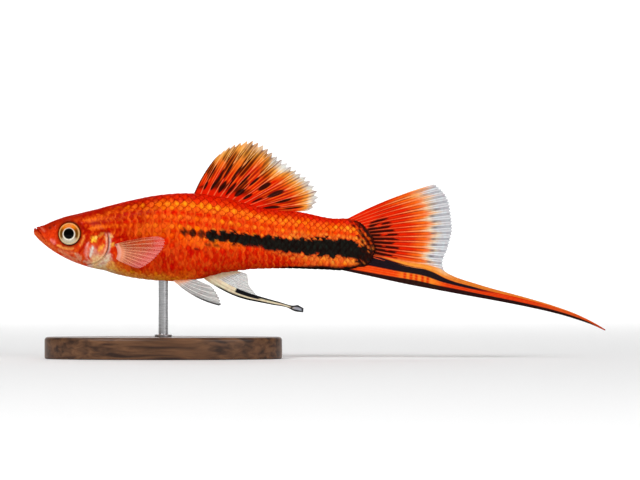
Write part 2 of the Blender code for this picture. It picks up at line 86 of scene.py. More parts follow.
# Place, width and depth of the two nostrils of a side
NOSTRILS = (((3.8, 2.75), 0.2, 0.3), ((4.75, 3.3), 0.15, 0.2))
# Folds of the cheek and gill cover: width, height (below zero for a groove) and line of each
FOLDS = (
    (0.16, -0.16, (2.6, 0.2), (3.4, -0.7), (4.4, -1.5), (5.2, -1.9)),
    (0.32, 0.12, (3.0, 0.9), (3.9, 0.1), (5.0, -0.9), (6.6, -1.75), (8.6, -2.1), (10.4, -1.6)),
    (0.2, -0.09, (4.0, -0.9), (5.4, -1.75), (7.0, -2.6), (9.0, -3.0), (10.8, -2.6)),
    (0.15, -0.14, (4.6, -2.0), (6.2, -2.9), (8.4, -4.05), (10.6, -4.85), (12.6, -5.3)),
    (0.14, 0.08, (5.4, -2.9), (7.6, -4.1), (9.6, -5.0), (11.6, -5.7)),
    (0.17, -0.17, (13.1, 2.6), (12.8, 0.9), (12.35, -0.8), (12.0, -2.4), (12.2, -3.8), (13.0, -4.9)),
    (0.3, 0.09, (12.5, 2.4), (12.2, 0.7), (11.7, -0.9), (11.35, -2.4), (11.5, -3.9)),
    (0.2, -0.07, (11.2, 2.6), (10.9, 0.9), (10.9, -0.6), (10.3, -1.9)),
    (0.2, -0.06, (2.4, 3.5), (3.0, 2.5), (3.2, 1.5), (3.0, 0.7)),
    (0.5, 0.06, (13.6, 0.2), (14.8, -0.2), (16.2, 0.6)),
)


def line_through(points):
    """A smooth line through (place, value) points, as cubics. At a point it has its neighbours' slope."""
    at, value = np.array(points, float).T
    slope = np.gradient(value, at)

    def read(x):
        i = np.clip(np.searchsorted(at, x) - 1, 0, len(at) - 2)
        run = at[i + 1] - at[i]
        t = np.clip((x - at[i]) / run, 0, 1)
        rise = t * t * (3 - 2 * t)
        bend = t * (1 - t) ** 2 * slope[i] - t * t * (1 - t) * slope[i + 1]
        return value[i] * (1 - rise) + value[i + 1] * rise + run * bend

    return read


def path_through(points):
    """A smooth path through a few points, by the share of its length from 0 to 1."""
    points = np.array(points, float)
    steps = np.linalg.norm(np.diff(points, axis=0), axis=1)
    share = np.concatenate([[0], np.cumsum(steps)]) / steps.sum()
    axes = [line_through(np.column_stack([share, values])) for values in points.T]
    return lambda t: np.stack([axis(np.asarray(t, float)) for axis in axes], axis=-1)


def ease(x, low, high):
    """0 below low, 1 above high, and a smooth S between them."""
    t = np.clip((x - low) / (high - low), 0, 1)
    return t * t * (3 - 2 * t)


def bell(x, width):
    """1 at zero, falling to about a third at width."""
    return np.exp(-(x / width) ** 2)


def off_line(x, z, points):
    """Distance from a line of straight stretches, seen from the side, and the share of it passed there."""
    points = np.array(points, float)
    nearest, passed = np.full(np.shape(x), 1e9), np.zeros(np.shape(x))
    for i, (start, end) in enumerate(zip(points[:-1], points[1:])):
        way = end - start
        t = np.clip(((x - start[0]) * way[0] + (z - start[1]) * way[1]) / (way @ way), 0, 1)
        away = np.hypot(x - start[0] - t * way[0], z - start[1] - t * way[1])
        closer = away < nearest
        nearest = np.where(closer, away, nearest)
        passed = np.where(closer, (i + t) / (len(points) - 1), passed)
    return nearest, passed


def fold(x, z, points, width, height):
    """A ridge, or a groove where height is below zero, along a line, fading out at the line's two ends."""
    away, passed = off_line(x, z, points)
    return height * bell(away, width) * np.sqrt(np.clip(4 * passed * (1 - passed), 0, 1))


def gill_edge(x, z):
    """Distance outside the gill cover's edge, which is a rounded D: squarer above its centre than below."""
    dx, dz = (x - GILL_CENTRE[0]) / GILL_REACH, (z - GILL_CENTRE[1]) / GILL_HEIGHT
    power = np.where(dz > 0, 2.6, 2.0)
    round_it = (np.abs(dx) ** power + np.abs(dz) ** power) ** (1 / power)
    return (round_it - 1) * GILL_REACH


def relief(x, z):
    """How far the skin stands out from the smooth body: lips, brow, nostrils, eye sockets, folds and gill
    covers, each as bells and eased steps of the distance from its line or middle."""
    away, passed = off_line(x, z, GAPE)
    lip_corner = GAPE[2]
    upper_lip = 2.6 * x + 1.95 * z > 2.6 * lip_corner[0] + 1.95 * lip_corner[1]
    mouth = ease(passed, 0.0, 0.2) * (1 - ease(passed, 0.86, 1.0))
    out = 0.2 * bell(away, 0.45) - 0.5 * mouth * bell(away, 0.11)
    out = out - np.where(upper_lip, 0.1, 0.05) * mouth * bell(away - 0.85, 0.13)
    eye = np.hypot(x - EYE_X, z - EYE_Z)
    out = out + 0.35 * np.exp(-(eye / 3.6) ** 4)
    out = out + 0.1 * bell(eye - 2.86, 0.24) - 0.07 * bell(eye - 3.4, 0.2)
    out = out - 1.35 * (1 - ease(eye, 2.38, 2.66))
    for hole, size, depth in NOSTRILS:
        away = np.hypot(x - hole[0], z - hole[1])
        out = out - depth * bell(away, size) + 0.05 * bell(away - 1.7 * size, 0.7 * size)
    out = out + ease(x, 1.5, 3.0) * sum(fold(x, z, line, width, height) for width, height, *line in FOLDS)
    edge = gill_edge(x, z)
    slit = ease(x, 11.6, 13.4) * (1 - ease(z, 0.4, 2.2)) * ease(z, -6.6, -5.7)
    plate = 0.34 * ease(x, 12.6, 16.4) * (1 - ease(edge, -0.03, 0.09)) * (1 - ease(z, 2.0, 4.4))
    rolled = 0.05 * bell(edge + 0.28, 0.16)
    out = out + plate * ease(edge, -9.0, -3.4) + slit * (rolled - 0.26 * bell(edge - 0.16, 0.1))
    return out + slit * 0.1 * bell(edge - 0.62, 0.26)


def half_section(x, middle, upper):
    """Reach from the widest height to the back or the belly, and the power of the section's oval there."""
    power = np.where(upper, line_through(CROWN_POWER)(x), KEEL_POWER)
    reach = np.where(upper, line_through(BACK)(x) - middle, middle - line_through(BELLY)(x))
    return reach, power


def body_sides():
    """Points of one half of the smooth body, by station along it and by equal shares of the girth from the
    belly to the back. A section is two half ovals of some power, one above the other."""
    stations = np.concatenate([
        (0.004, 0.012, 0.028, 0.05, 0.075), np.arange(0.1, 3.4, 0.05), np.arange(3.4, 19.4, 0.1),
        np.arange(19.4, 71.0, 0.34), np.arange(71.0, 77.2, 0.2), (77.3, 77.5, 77.65, 77.75, 77.83, 77.88),
    ])
    turn = np.linspace(-math.pi / 2, math.pi / 2, 241)[None, :]
    x = stations[:, None] + 0 * turn
    middle = line_through(WIDEST_HEIGHT)(x)
    reach, power = half_section(x, middle, turn > 0)
    y = line_through(HALF_WIDTH)(x) * np.abs(np.cos(turn)) ** (2 / power)
    z = middle + reach * np.sign(turn) * np.abs(np.sin(turn)) ** (2 / power)
    steps = [np.diff(grid, axis=1, prepend=grid[:, :1]) for grid in (y, z)]
    length = np.cumsum(np.hypot(*steps), axis=1)
    share = np.linspace(0, 1, SIDE_SHARES)
    y, z = (
        np.stack([np.interp(share, run / run[-1], values) for run, values in zip(length, grid)])
        for grid in (y, z)
    )
    return stations, length[:, -1], y, z


stations, half_girth, side_y, side_z = body_sides()
RING = 2 * SIDE_SHARES - 2
whole_y = np.concatenate([side_y, -side_y[:, -2:0:-1]], axis=1)
whole_z = np.concatenate([side_z, side_z[:, -2:0:-1]], axis=1)
body_points = np.stack([stations[:, None] + 0 * whole_y, whole_y, whole_z], axis=-1)
along = np.gradient(body_points, axis=0)
around = np.roll(body_points, -1, axis=1) - np.roll(body_points, 1, axis=1)
body_normals = np.cross(along, around)
body_normals /= np.linalg.norm(body_normals, axis=-1, keepdims=True) + 1e-12
outward = (body_normals * (body_points - body_points.mean(axis=1, keepdims=True))).sum(-1, keepdims=True)
body_normals *= np.sign(outward)

# Share of the half girth at which the side line runs, and the height of one row of scales below it
side_share = np.array([
    np.interp(line, row, np.linspace(0, 1, SIDE_SHARES))
    for line, row in zip(line_through(SIDE_LINE)(stations), side_z)
])
row_height = np.interp(stations, (10, 20, 34, 46, 60, 78), (1.0, 1.1, 1.2, 1.12, 0.92, 0.82))
ROWS_ABOVE, ROWS_BELOW = 10, 13
KEEL_BLACK, FLECK_BLACK = (0.012, 0.009, 0.009), (0.03, 0.010, 0.008)
# Brush strokes in the order in which they are laid on: colour, width, strength and line of each
CHEST_STROKES = (
    ((0.84, 0.62, 0.46), 0.7, 0.75, (17.6, -3.4), (16.6, -4.6), (15.0, -5.8)),
    ((0.88, 0.36, 0.04), 0.7, 0.8, (16.8, -6.2), (18.6, -6.4), (20.6, -7.0)),
    ((0.92, 0.45, 0.06), 0.4, 0.7, (17.4, -5.4), (18.6, -5.6)),
    ((0.86, 0.10, 0.01), 0.9, 0.8, (19.0, -3.2), (20.4, -5.2), (22.4, -6.4)),
    ((0.55, 0.30, 0.14), 0.45, 0.75, (14.0, -6.5), (17.5, -7.5), (20, -8.1)),
    ((0.93, 0.52, 0.16), 0.55, 0.8, (17.85, 1.1), (18.0, 0.6)),
    ((0.95, 0.50, 0.07), 0.6, 0.85, (18.0, -0.9), (18.3, -1.2)),
)
HEAD_STROKES = (
    ((0.92, 0.15, 0.012), 0.6, 0.75, (11.6, 4.5), (13.4, 4.5), (15.4, 5.1), (17.6, 6.4)),
    ((0.92, 0.17, 0.013), 0.55, 0.8, (12.9, 2.5), (14.8, 2.9), (16.8, 3.1)),
    ((0.34, 0.008, 0.003), 0.5, 0.85, (10.4, 4.0), (11.4, 2.8), (12.8, 1.7)),
    ((0.34, 0.008, 0.003), 0.4, 0.85, (13.0, 3.6), (14.6, 3.9), (16.4, 4.1), (17.6, 4.9)),
    ((0.34, 0.008, 0.003), 0.5, 0.85, (14.8, 1.8), (16.4, 1.9), (18.2, 1.9)),
    ((0.38, 0.009, 0.003), 0.45, 0.8, (14.6, 6.2), (15.8, 6.0), (17.0, 5.5)),
    ((0.84, 0.14, 0.03), 0.75, 0.8, (0.0, 1.7), (1.6, 0.4), (3.2, -0.9), (5.4, -2.5)),
    # A painted highlight along the upper lip
    ((0.90, 0.20, 0.10), 0.22, 0.6, (1.7, 2.9), (2.3, 2.4), (2.75, 1.8)),
    # Painted shade in the slit of the mouth, along the gape
    ((0.46, 0.015, 0.004), 0.16, 0.75, (0.7, 2.6), (1.75, 1.5), (2.5, 0.3), (2.9, -0.3)),
    # A painted highlight in pink on the cheek, before and below the eye
    ((0.92, 0.22, 0.18), 0.42, 0.8, (4.1, 0.1), (4.7, -0.4), (5.2, -0.8)),
    # A painted highlight in gold below the eye
    ((0.93, 0.33, 0.07), 0.4, 0.85, (5.7, -1.1), (6.8, -1.65), (8.2, -1.9), (9.4, -1.75)),
    ((0.86, 0.22, 0.09), 0.5, 0.5, (5.8, -2.1), (7.6, -2.7), (9.4, -3.0)),
    ((0.86, 0.34, 0.16), 0.3, 0.75, (5.8, -2.4), (6.8, -2.95), (8.6, -3.95), (10.8, -4.75)),
    ((0.82, 0.24, 0.14), 0.35, 0.7, (6.6, -3.6), (8.6, -4.6), (11.0, -5.5)),
    ((0.82, 0.40, 0.22), 0.5, 0.75, (9.7, -3.1), (10.3, -3.7), (10.9, -4.3)),
    ((0.90, 0.28, 0.05), 0.42, 0.9, (11.0, -1.3), (11.5, -0.2), (11.9, 1.0)),
    ((0.50, 0.010, 0.003), 0.5, 0.9, (10.6, -2.9), (11.3, -1.9), (12.2, 0.0), (12.8, 2.2)),
    ((0.85, 0.28, 0.22), 0.33, 0.9, (12.7, -0.6), (12.3, -1.6), (12.05, -3.1), (12.4, -4.4)),
    ((0.83, 0.48, 0.30), 0.4, 0.7, (11.4, -4.9), (12.6, -5.0), (13.4, -4.6)),
)
COVER_STROKES = (
    ((0.62, 0.025, 0.006), 0.45, 0.8, (15.6, -0.4), (14.9, -1.1), (14.2, -2.0)),
    ((0.62, 0.30, 0.26), 0.8, 0.6, (13.6, -1.5), (14.0, -3.0), (14.7, -3.7)),
    ((0.80, 0.70, 0.60), 0.4, 0.95, (13.6, -1.6), (13.3, -2.8), (13.1, -3.8)),
    ((0.97, 0.50, 0.04), 0.7, 1.0, (13.6, -0.2), (14.4, 0.6)),
    ((0.97, 0.66, 0.18), 0.25, 0.7, (14.2, 0.75), (14.6, 0.3)),
    ((0.62, 0.22, 0.03), 0.35, 0.7, (15.0, 0.7), (15.6, 1.2), (16.2, 1.6)),
    ((0.94, 0.36, 0.04), 0.36, 0.9, (14.9, -2.4), (15.5, -1.8), (16.3, -1.0)),
    ((0.92, 0.30, 0.05), 0.4, 0.7, (16.5, 0.8), (16.7, 0.0)),
)


def row_number(x, share):
    """Rows of scales up from the side line, and down from it below zero, at a share of the half girth."""
    line, girth = np.interp(x, stations, side_share), np.interp(x, stations, half_girth)
    up = ROWS_ABOVE * (share - line) / (1 - line)
    down = (share - line) * girth / np.interp(x, stations, row_height)
    return np.where(share > line, up, down)


def plain(x, colour):
    """One colour at every point of x."""
    return np.zeros(np.shape(x) + (3,)) + colour


def tint(colour, other, share):
    """A colour moved towards another by a share, point by point."""
    return colour + (np.array(other) - colour) * np.asarray(share)[..., None]


def dapple(x, z, size, seed):
    """Soft patches from 0 to 1: a sum of five slow waves in turned directions, about size apart."""
    draw = np.random.default_rng(seed)
    total = np.zeros(np.shape(x))
    for _ in range(5):
        turn, phase, step = draw.uniform(0, 2 * math.pi, 2).tolist() + [draw.uniform(0.8, 1.5)]
        along = x * math.cos(turn) + z * math.sin(turn)
        total = total + np.sin(along * 2 * math.pi / (size * step) + phase)
    return np.clip(0.5 + total / 5, 0, 1)


def brushed(colour, x, z, strokes):
    """The colour moved towards each stroke's own along its line. The share falls off as a bell whose width
    narrows to the line's two ends, and its edge wanders a little."""
    for other, width, strength, *line in strokes:
        away, passed = off_line(x, z, line)
        narrow = 0.45 + 0.55 * np.sqrt(np.clip(4 * passed * (1 - passed), 0, 1))
        wander = 0.5 * width * (dapple(x, z, 0.6, len(line)) - 0.5)
        share = bell(np.maximum(away + wander, 0) / narrow, width) * (0.85 + 0.4 * dapple(x, z, 0.45, 9))
        colour = tint(colour, other, np.clip(strength * share, 0, 1))
    return colour


def keel_line(x, z):
    """How black the lower edge of the tail is: a line that thickens rearwards."""
    high = 0.25 + 0.35 * ease(x, 56, 66)
    return (1 - ease(z - line_through(BELLY)(x), high, high + 0.3)) * ease(x, 53, 59)


def tail_end(z):
    """Where the scales end on the tail: a parabola round its rearmost place, 1.4 mm below the axis."""
    return 77.1 - 0.09 * (z + 1.4) ** 2


def tail_flecks(x, z):
    """How black the flecks are where the scales end: patches that grow towards the end line of the tail."""
    left = tail_end(z) - x
    return ease(dapple(x, z, 0.8, 13) - 0.17 * left, 0.14, 0.36) * (left < 3.0) * (1 - ease(z, 3.8, 4.8))


def flank_colours(x, z, row):
    """The trunk and tail: every second row of scales is orange between red ones, the sixth up is gold, the
    back is dark red, and the belly is golden in front. The tail's lower edge is black."""
    colour = plain(x, (0.72, 0.014, 0.003))
    rear = ease(x, 40, 56)
    orange_row = np.cos(math.pi * np.clip(row, -12, 5)) < -0.3
    colour = tint(colour, (0.96, 0.155, 0.011), orange_row * (0.85 + 0.1 * rear) * ease(row, -2, 0))
    colour = tint(colour, (0.90, 0.10, 0.010), 0.4 * rear * ease(row, 0, 1) * (1 - ease(row, 5, 7)))
    gold = bell(row - 6.0, 0.5) * ease(x, 18, 28) * (1 - 0.8 * ease(x, 44, 58))
    colour = tint(colour, (0.99, 0.22, 0.011), gold)
    colour = tint(colour, (0.78, 0.030, 0.006), ease(row, 6.3, 7.3))
    colour = tint(colour, (0.84, 0.070, 0.007), bell(row - 7.0, 0.5) * 0.7 * rear)
    colour = tint(colour, (0.70, 0.020, 0.006), ease(row, 7.2, 8.4))
    nape = ease(x, 15, 19) * (1 - ease(x, 24, 31)) * ease(z, -2.0, 0.5)
    nape = nape * (0.3 + 0.65 * ease(dapple(x, z, 1.1, 17), 0.38, 0.62))
    colour = tint(colour, (0.45, 0.010, 0.003), nape)
    shoulder = 0.6 * bell(row + 0.2, 1.0) * ease(x, 20, 25) * (1 - ease(x, 28, 33))
    colour = tint(colour, (0.78, 0.13, 0.012), shoulder)
    under_stripe = bell(row + 1.4, 0.9) * ease(x, 32, 36) * (1 - ease(x, 44, 50))
    colour = tint(colour, (0.94, 0.17, 0.010), under_stripe)
    low = ease(-row, 2.2, 3.6)
    colour = tint(colour, (0.58, 0.010, 0.003), low * (0.7 - 0.1 * rear))
    patches = 0.5 * low * dapple(x, z, 5.0, 3) * (1 - 0.6 * ease(x, 36, 44))
    colour = tint(colour, (0.78, 0.055, 0.008), patches)
    colour = tint(colour, (0.90, 0.13, 0.015), low * ease(x, 56, 66))
    over_belly = z - line_through(BELLY)(x)
    belly = (1 - ease(over_belly, 0.5, 2.8)) * (1 - ease(x, 30, 40))
    colour = tint(colour, (0.97, 0.27, 0.016), 0.9 * belly)
    edge = (1 - ease(over_belly, 0.2, 1.3)) * (1 - ease(x, 22, 32))
    colour = tint(colour, (0.92, 0.44, 0.11), 0.7 * edge)
    colour = tint(colour, (0.42, 0.03, 0.006), 0.5 * (1 - ease(over_belly, 0.2, 1.2)) * ease(x, 36, 44))
    colour = tint(colour, (0.46, 0.030, 0.006), 0.75 * (1 - ease(tail_end(z) - x, 0.6, 2.8)))
    colour = tint(colour, FLECK_BLACK, 0.94 * tail_flecks(x, z))
    return tint(colour, KEEL_BLACK, keel_line(x, z))


def chest_colours(colour, x, z):
    """The silvery chest and throat below and behind the gill cover."""
    silver = ease(x, 12.6, 14.2) * (1 - ease(x + 0.55 * z, 13.6, 16.4)) * (1 - ease(z, -4.4, -2.4))
    return brushed(tint(colour, (0.88, 0.55, 0.25), silver), x, z, CHEST_STROKES)


def head_colours(x, z):
    """The head: orange red above, a painted highlight on the upper lip, painted highlights of gold and pink
    and cream below the eye, pearl and gold on the gill cover, and painted shade in the mouth's slit, the
    nostrils, the gill opening and round the eye.
    """
    colour = plain(x, (0.76, 0.046, 0.008))
    below_roof = line_through(BACK)(x) - z
    colour = tint(colour, (0.42, 0.016, 0.005), 0.9 * (1 - ease(below_roof, 0.6, 2.6)))
    light = ease(dapple(x, z, 1.5, 5), 0.4, 0.75) * ease(x, 5, 10) * ease(below_roof, 0.6, 2.4)
    colour = tint(colour, (0.90, 0.13, 0.012), 0.6 * light)
    dark = (0.35 + 0.6 * ease(dapple(x, z, 1.0, 19), 0.4, 0.65)) * ease(x, 9.6, 11.5) * ease(z, -1.4, 0.6)
    colour = brushed(tint(colour, (0.46, 0.009, 0.003), dark), x, z, HEAD_STROKES)
    edge = gill_edge(x, z)
    cover = ease(x, 12.7, 13.2) * (1 - ease(edge, -0.2, 0.0)) * (1 - ease(z, -2.0, -0.6)) * 0.8
    colour = brushed(tint(colour, (0.80, 0.17, 0.07), cover), x, z, COVER_STROKES)
    rim = ease(x, 11.9, 12.9) * (1 - ease(z, 1.0, 1.9))
    colour = tint(colour, (0.88, 0.46, 0.30), 0.75 * rim * bell(edge + 0.32, 0.2))
    colour = tint(colour, (0.80, 0.55, 0.46), 0.9 * rim * ease(edge, 0.0, 0.15) * (1 - ease(edge, 0.55, 1.0)))
    # Painted shade: a dark line at the gill cover's free edge, in the slit under it
    colour = tint(colour, (0.17, 0.035, 0.025), 0.8 * rim * bell(edge - 0.06, 0.11))
    # Painted shade round the eye: a dark ring over the socket's rim, weaker in front of the eye
    eye = np.hypot(x - EYE_X, z - EYE_Z)
    corner = 0.75 + 0.25 * ((x - EYE_X) + np.abs(z - EYE_Z)) / np.maximum(eye, 0.1)
    colour = tint(colour, (0.25, 0.012, 0.004), np.clip(corner, 0, 1) * (1 - ease(eye, 2.62, 3.25)))
    # Painted shade in the two nostril pits
    for hole, size in (((3.85, 2.72), 0.42), ((4.75, 3.3), 0.22)):
        colour = tint(colour, (0.20, 0.02, 0.01), 0.85 * bell(np.hypot(x - hole[0], z - hole[1]), size))
    return colour


def markings(x, z, share):
    """The whole fish's colours by place: the head's, the chest's and the flank's, run into one another."""
    behind = ease(x - 0.25 * np.maximum(z - 1, 0), 15.2, 17.6) * ease(gill_edge(x, z), 0.15, 1.0)
    head = chest_colours(head_colours(x, z), x, z)
    return tint(head, chest_colours(flank_colours(x, z, row_number(x, share)), x, z), behind)


def new_finish(name):
    """A new material, its node tree and its shader."""
    material = bpy.data.materials.new(name)
    material.use_nodes = True
    return material, material.node_tree, material.node_tree.nodes["Principled BSDF"]


def add_node(tree, kind, inputs=None, **traits):
    """Adds a node. Each named input takes its value, or a link from another node's output."""
    node = tree.nodes.new("ShaderNode" + kind)
    for trait, value in traits.items():
        setattr(node, trait, value)
    for name, value in (inputs or {}).items():
        if isinstance(value, bpy.types.NodeSocket):
            tree.links.new(value, node.inputs[name])
        else:
            node.inputs[name].default_value = value
    return node


def add_ramp(tree, amount, *stops):
    """Colours between two (place, colour) stops, read at an amount."""
    ramp = add_node(tree, "ValToRGB", {"Fac": amount})
    for element, (place, colour) in zip(ramp.color_ramp.elements, stops):
        element.position, element.color = place, (*colour, 1)
    return ramp.outputs["Color"]


def smooth_finish(name, roughness, coat, mottle, vary, grain, bump, upright=1.0, clear=False):
    """A painted finish: the piece's own Paint colours, made redder and brighter by turns in patches of noise,
    on a finely grained surface under a coat. The patches are mottle millimetres across, and taller than wide
    where upright is below 1. The grain is grain millimetres across and bump high."""
    material, tree, shader = new_finish(name)
    paint = add_node(tree, "Attribute", attribute_name="Paint")
    place = add_node(tree, "TexCoord").outputs["Object"]
    stretched = add_node(tree, "Mapping", {"Vector": place, "Scale": (1.0, 1.0, upright)}).outputs["Vector"]
    patches = add_node(tree, "TexNoise", {"Vector": stretched, "Scale": 1000 / mottle, "Detail": 4})
    redder = [1 + vary * (part - 1) for part in (0.76, 0.36, 0.42)]
    brighter = [1 + vary * (part - 1) for part in (1.14, 1.5, 1.5)]
    hues = add_ramp(tree, patches.outputs["Fac"], (0.32, redder), (0.68, brighter))
    shade = add_node(tree, "VectorMath", {0: paint.outputs["Color"], 1: hues}, operation="MULTIPLY")
    fine = add_node(tree, "TexNoise", {"Vector": place, "Scale": 1000 / grain, "Detail": 3}).outputs["Fac"]
    wet = add_node(tree, "MapRange", {"Value": fine, "To Min": roughness - 0.08, "To Max": roughness + 0.12})
    grained = add_node(tree, "Bump", {"Height": fine, "Strength": 0.6, "Distance": bump / 1000})
    tree.links.new(shade.outputs["Vector"], shader.inputs["Base Color"])
    tree.links.new(wet.outputs["Result"], shader.inputs["Roughness"])
    tree.links.new(grained.outputs["Normal"], shader.inputs["Normal"])
    shader.inputs["Specular IOR Level"].default_value = 0.0
    shader.inputs["Coat Weight"].default_value = coat
    shader.inputs["Coat Roughness"].default_value = 0.1
    if clear:
        tree.links.new(paint.outputs["Alpha"], shader.inputs["Alpha"])
    return material


# The white that the gloss lays over every colour, taken off the paint beforehand
GLOSS_WHITE, DARKEST = 0.004, 0.0006


def add_piece(name, points, faces, material, paint=None, replaces=()):
    """Makes a piece from points in fish millimetres, with its Paint colours, and fixes it to the model."""
    mesh = bpy.data.meshes.new(name)
    offset = np.array((-ROD_FROM_SNOUT, 0.0, AXIS_HEIGHT))
    mesh.from_pydata(((np.asarray(points, float) + offset) * 0.001).tolist(), [], faces)
    mesh.materials.append(material)
    mesh.shade_smooth()
    if paint is not None:
        colour = np.ones((len(mesh.vertices), 4), np.float32)
        colour[:, :paint.shape[-1]] = paint.reshape(-1, paint.shape[-1])
        colour[:, :3] = np.maximum(colour[:, :3] - GLOSS_WHITE, DARKEST)
        mesh.attributes.new("Paint", "FLOAT_COLOR", "POINT").data.foreach_set("color", colour.ravel())
    piece = bpy.data.objects.new(name, mesh)
    bpy.context.scene.collection.objects.link(piece)
    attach(piece, "root")
    if replaces:
        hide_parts(*replaces)
    return piece


def add_rings(name, rings, poles, material, paint, replaces=(), turned_out=False):
    """A closed piece from rings of points and two poles: four-sided faces between the rings and fans to the
    poles, which take the colour beside them. The faces are reversed where the rings run the other way."""
    count, around = rings.shape[:2]
    index = np.arange(count * around).reshape(count, around)
    after = np.roll(index, -1, axis=1)
    sides = np.stack([index[:-1], after[:-1], after[1:], index[1:]], axis=-1).reshape(-1, 4)
    first = np.stack([np.full(around, index.size), after[0], index[0]], axis=-1)
    last = np.stack([np.full(around, index.size + 1), index[-1], after[-1]], axis=-1)
    faces = sides.tolist() + first.tolist() + last.tolist()
    if turned_out:
        faces = [face[::-1] for face in faces]
    if paint is not None:
        paint = np.concatenate([paint.reshape(-1, 3), paint[0, :1], paint[-1, :1]])
    points = np.concatenate([rings.reshape(-1, 3), poles])
    return add_piece(name, points, faces, material, paint, replaces)


behind_gill = ease(gill_edge(stations[:, None] + 0 * whole_z, whole_z), 0.7, 2.4)
coat_room = COAT_ROOM * behind_gill * ease(stations, 11.5, 18.0)[:, None]
skin_lift = relief(body_points[..., 0], body_points[..., 2]) - coat_room
skin_points = body_points + body_normals * skin_lift[..., None]
whole_share = np.concatenate([np.linspace(0, 1, SIDE_SHARES), np.linspace(1, 0, SIDE_SHARES)[1:-1]])
skin_paint = markings(body_points[..., 0], body_points[..., 2], whole_share[None, :] + 0 * whole_y)
ends = np.array([(x, 0.0, z) for x, z in (BACK[0], BACK[-1])])
wet_skin = smooth_finish("wet_skin", 0.38, 0.04, 0.6, 0.65, 0.12, 0.03)
add_rings("skin", skin_points, ends, wet_skin, skin_paint,
          ("head", "lower_jaw", "trunk", "tail", "gill_cover_left", "gill_cover_right"))


# The scales. Each is a thin horny plate, rooted in the skin at its front and free at its rounded rear edge,
# over the front of the next ones. Rows run from the gills to the tail, every second one half a scale on.
SCALE_LENGTH = ((10, 1.5), (20, 1.65), (30, 1.9), (44, 1.9), (60, 1.42), (78, 1.3))
PLATE_CUTS, PLATE_TILT = 4, 0.21
# Half a plate's length and height, as shares of its scale's length and of its row's height
PLATE_LONG, PLATE_TALL = 0.72, 1.02
# Half length of a plate on the flank, for which its tilt and dome are given
FLANK_PLATE, PLATE_DOME = 1.37, 0.055
# Share by which the red rows are taller on the flank, and the orange ones lower
RED_ROW_TALLER = 0.27
# The side stripe's middle line and half width along the fish
STRIPE_MIDDLE = (
    (32, 2.0), (33.6, 1.95), (35.5, 1.7), (39, 1.0), (42.4, 0.85), (49, 0.05), (58, -1.2), (67.5, -1.75),
    (72, -2.1), (74.5, -2.9), (77, -4.1),
)
STRIPE_HALF = (
    (38, 1.15), (42, 1.3), (49, 1.5), (58, 1.65), (67.5, 1.85), (72, 2.0), (74.5, 1.8), (77, 1.3),
)
STRIPE_FRONT, STRIPE_REAR = 39.1, 77.4
# One of the notches in the edge of the stripe's front half, and the distance between them
NOTCH_PLACE, NOTCH_STEP = 44.4, 2.5
# Place of each black spot, how black it is and how much of its scale it covers: three in line with the stripe
# and ahead of it, and three faint ones below it
STRIPE_SPOTS = (
    (33.7, 1.85, 0.97, 0.95), (35.7, 1.6, 0.97, 1.1), (37.5, 1.3, 0.88, 1.05),
    (37.5, -1.4, 0.85, 0.8), (39.4, -1.45, 0.75, 0.7), (41.4, -1.7, 0.75, 0.7),
)


def on_body(x, ring):
    """Points and outward directions of the smooth body at x and at a place round its ring, each a mean of the
    four grid points around it by their nearness."""
    at = np.interp(x, stations, np.arange(len(stations)))
    i = np.clip(at.astype(int), 0, len(stations) - 2)
    k = np.floor(ring).astype(int)
    a, b = (at - i)[..., None], (ring - k)[..., None]
    near, far = k % RING, (k + 1) % RING
    shares = (
        (i, near, (1 - a) * (1 - b)), (i, far, (1 - a) * b), (i + 1, near, a * (1 - b)), (i + 1, far, a * b),
    )
    return tuple(
        sum(share * grid[at, to] for at, to, share in shares) for grid in (body_points, body_normals))


def row_ring(x, row):
    """Place round the ring, from the belly up the right side, of a row of scales at x."""
    line, girth = np.interp(x, stations, side_share), np.interp(x, stations, half_girth)
    up = line + row / ROWS_ABOVE * (1 - line)
    down = line + row * np.interp(x, stations, row_height) / girth
    return np.where(row > 0, up, down) * (SIDE_SHARES - 1)


def scale_places():
    """x, row and side of every scale: columns a scale's length apart, odd rows half a length behind even
    ones, and only one scale in the row on the ridge of the back."""
    x, step = np.linspace(10, 78, 1361, retstep=True)
    passed = np.concatenate([[0], np.cumsum(step / np.interp(x, *np.array(SCALE_LENGTH).T))])[:-1]
    rows = np.arange(-ROWS_BELOW, ROWS_ABOVE + 1)
    column, row = (part.ravel() for part in np.meshgrid(np.arange(0, passed[-1], 1.0), rows, indexing="ij"))
    at = np.interp(column + 0.5 * (row % 2), passed, x)
    draw = np.random.default_rng(11)
    at = at + draw.normal(0, 0.05, at.shape)
    ring = row_ring(at, row)
    points, _ = on_body(at, ring)
    z = points[:, 2]
    # The coat starts behind the gill cover's edge, and leaves the base of the pectoral fin bare
    front = np.where(z > 2.6, 14.0 + 0.4 * np.abs(z - 5.0), 17.6)
    keep = (ring > 1.5) & (at > front) & (at < tail_end(z))
    keep &= (gill_edge(at, z) > 0.6) | (z > 2.6)
    keep &= (at > 20.2) | (z > 0.9) | (z < -5.4)
    at, row = at[keep], row[keep]
    paired = row < ROWS_ABOVE
    side = np.concatenate([np.ones(len(at)), -np.ones(paired.sum())])
    return np.concatenate([at, at[paired]]), np.concatenate([row, row[paired]]), side


def grid_faces(rows, columns):
    """The numbers of a grid's points, and its four-sided faces."""
    index = np.arange(rows * columns).reshape(rows, columns)
    corners = index[:-1, :-1], index[1:, :-1], index[1:, 1:], index[:-1, 1:]
    return index, np.stack(corners, -1).reshape(-1, 4)


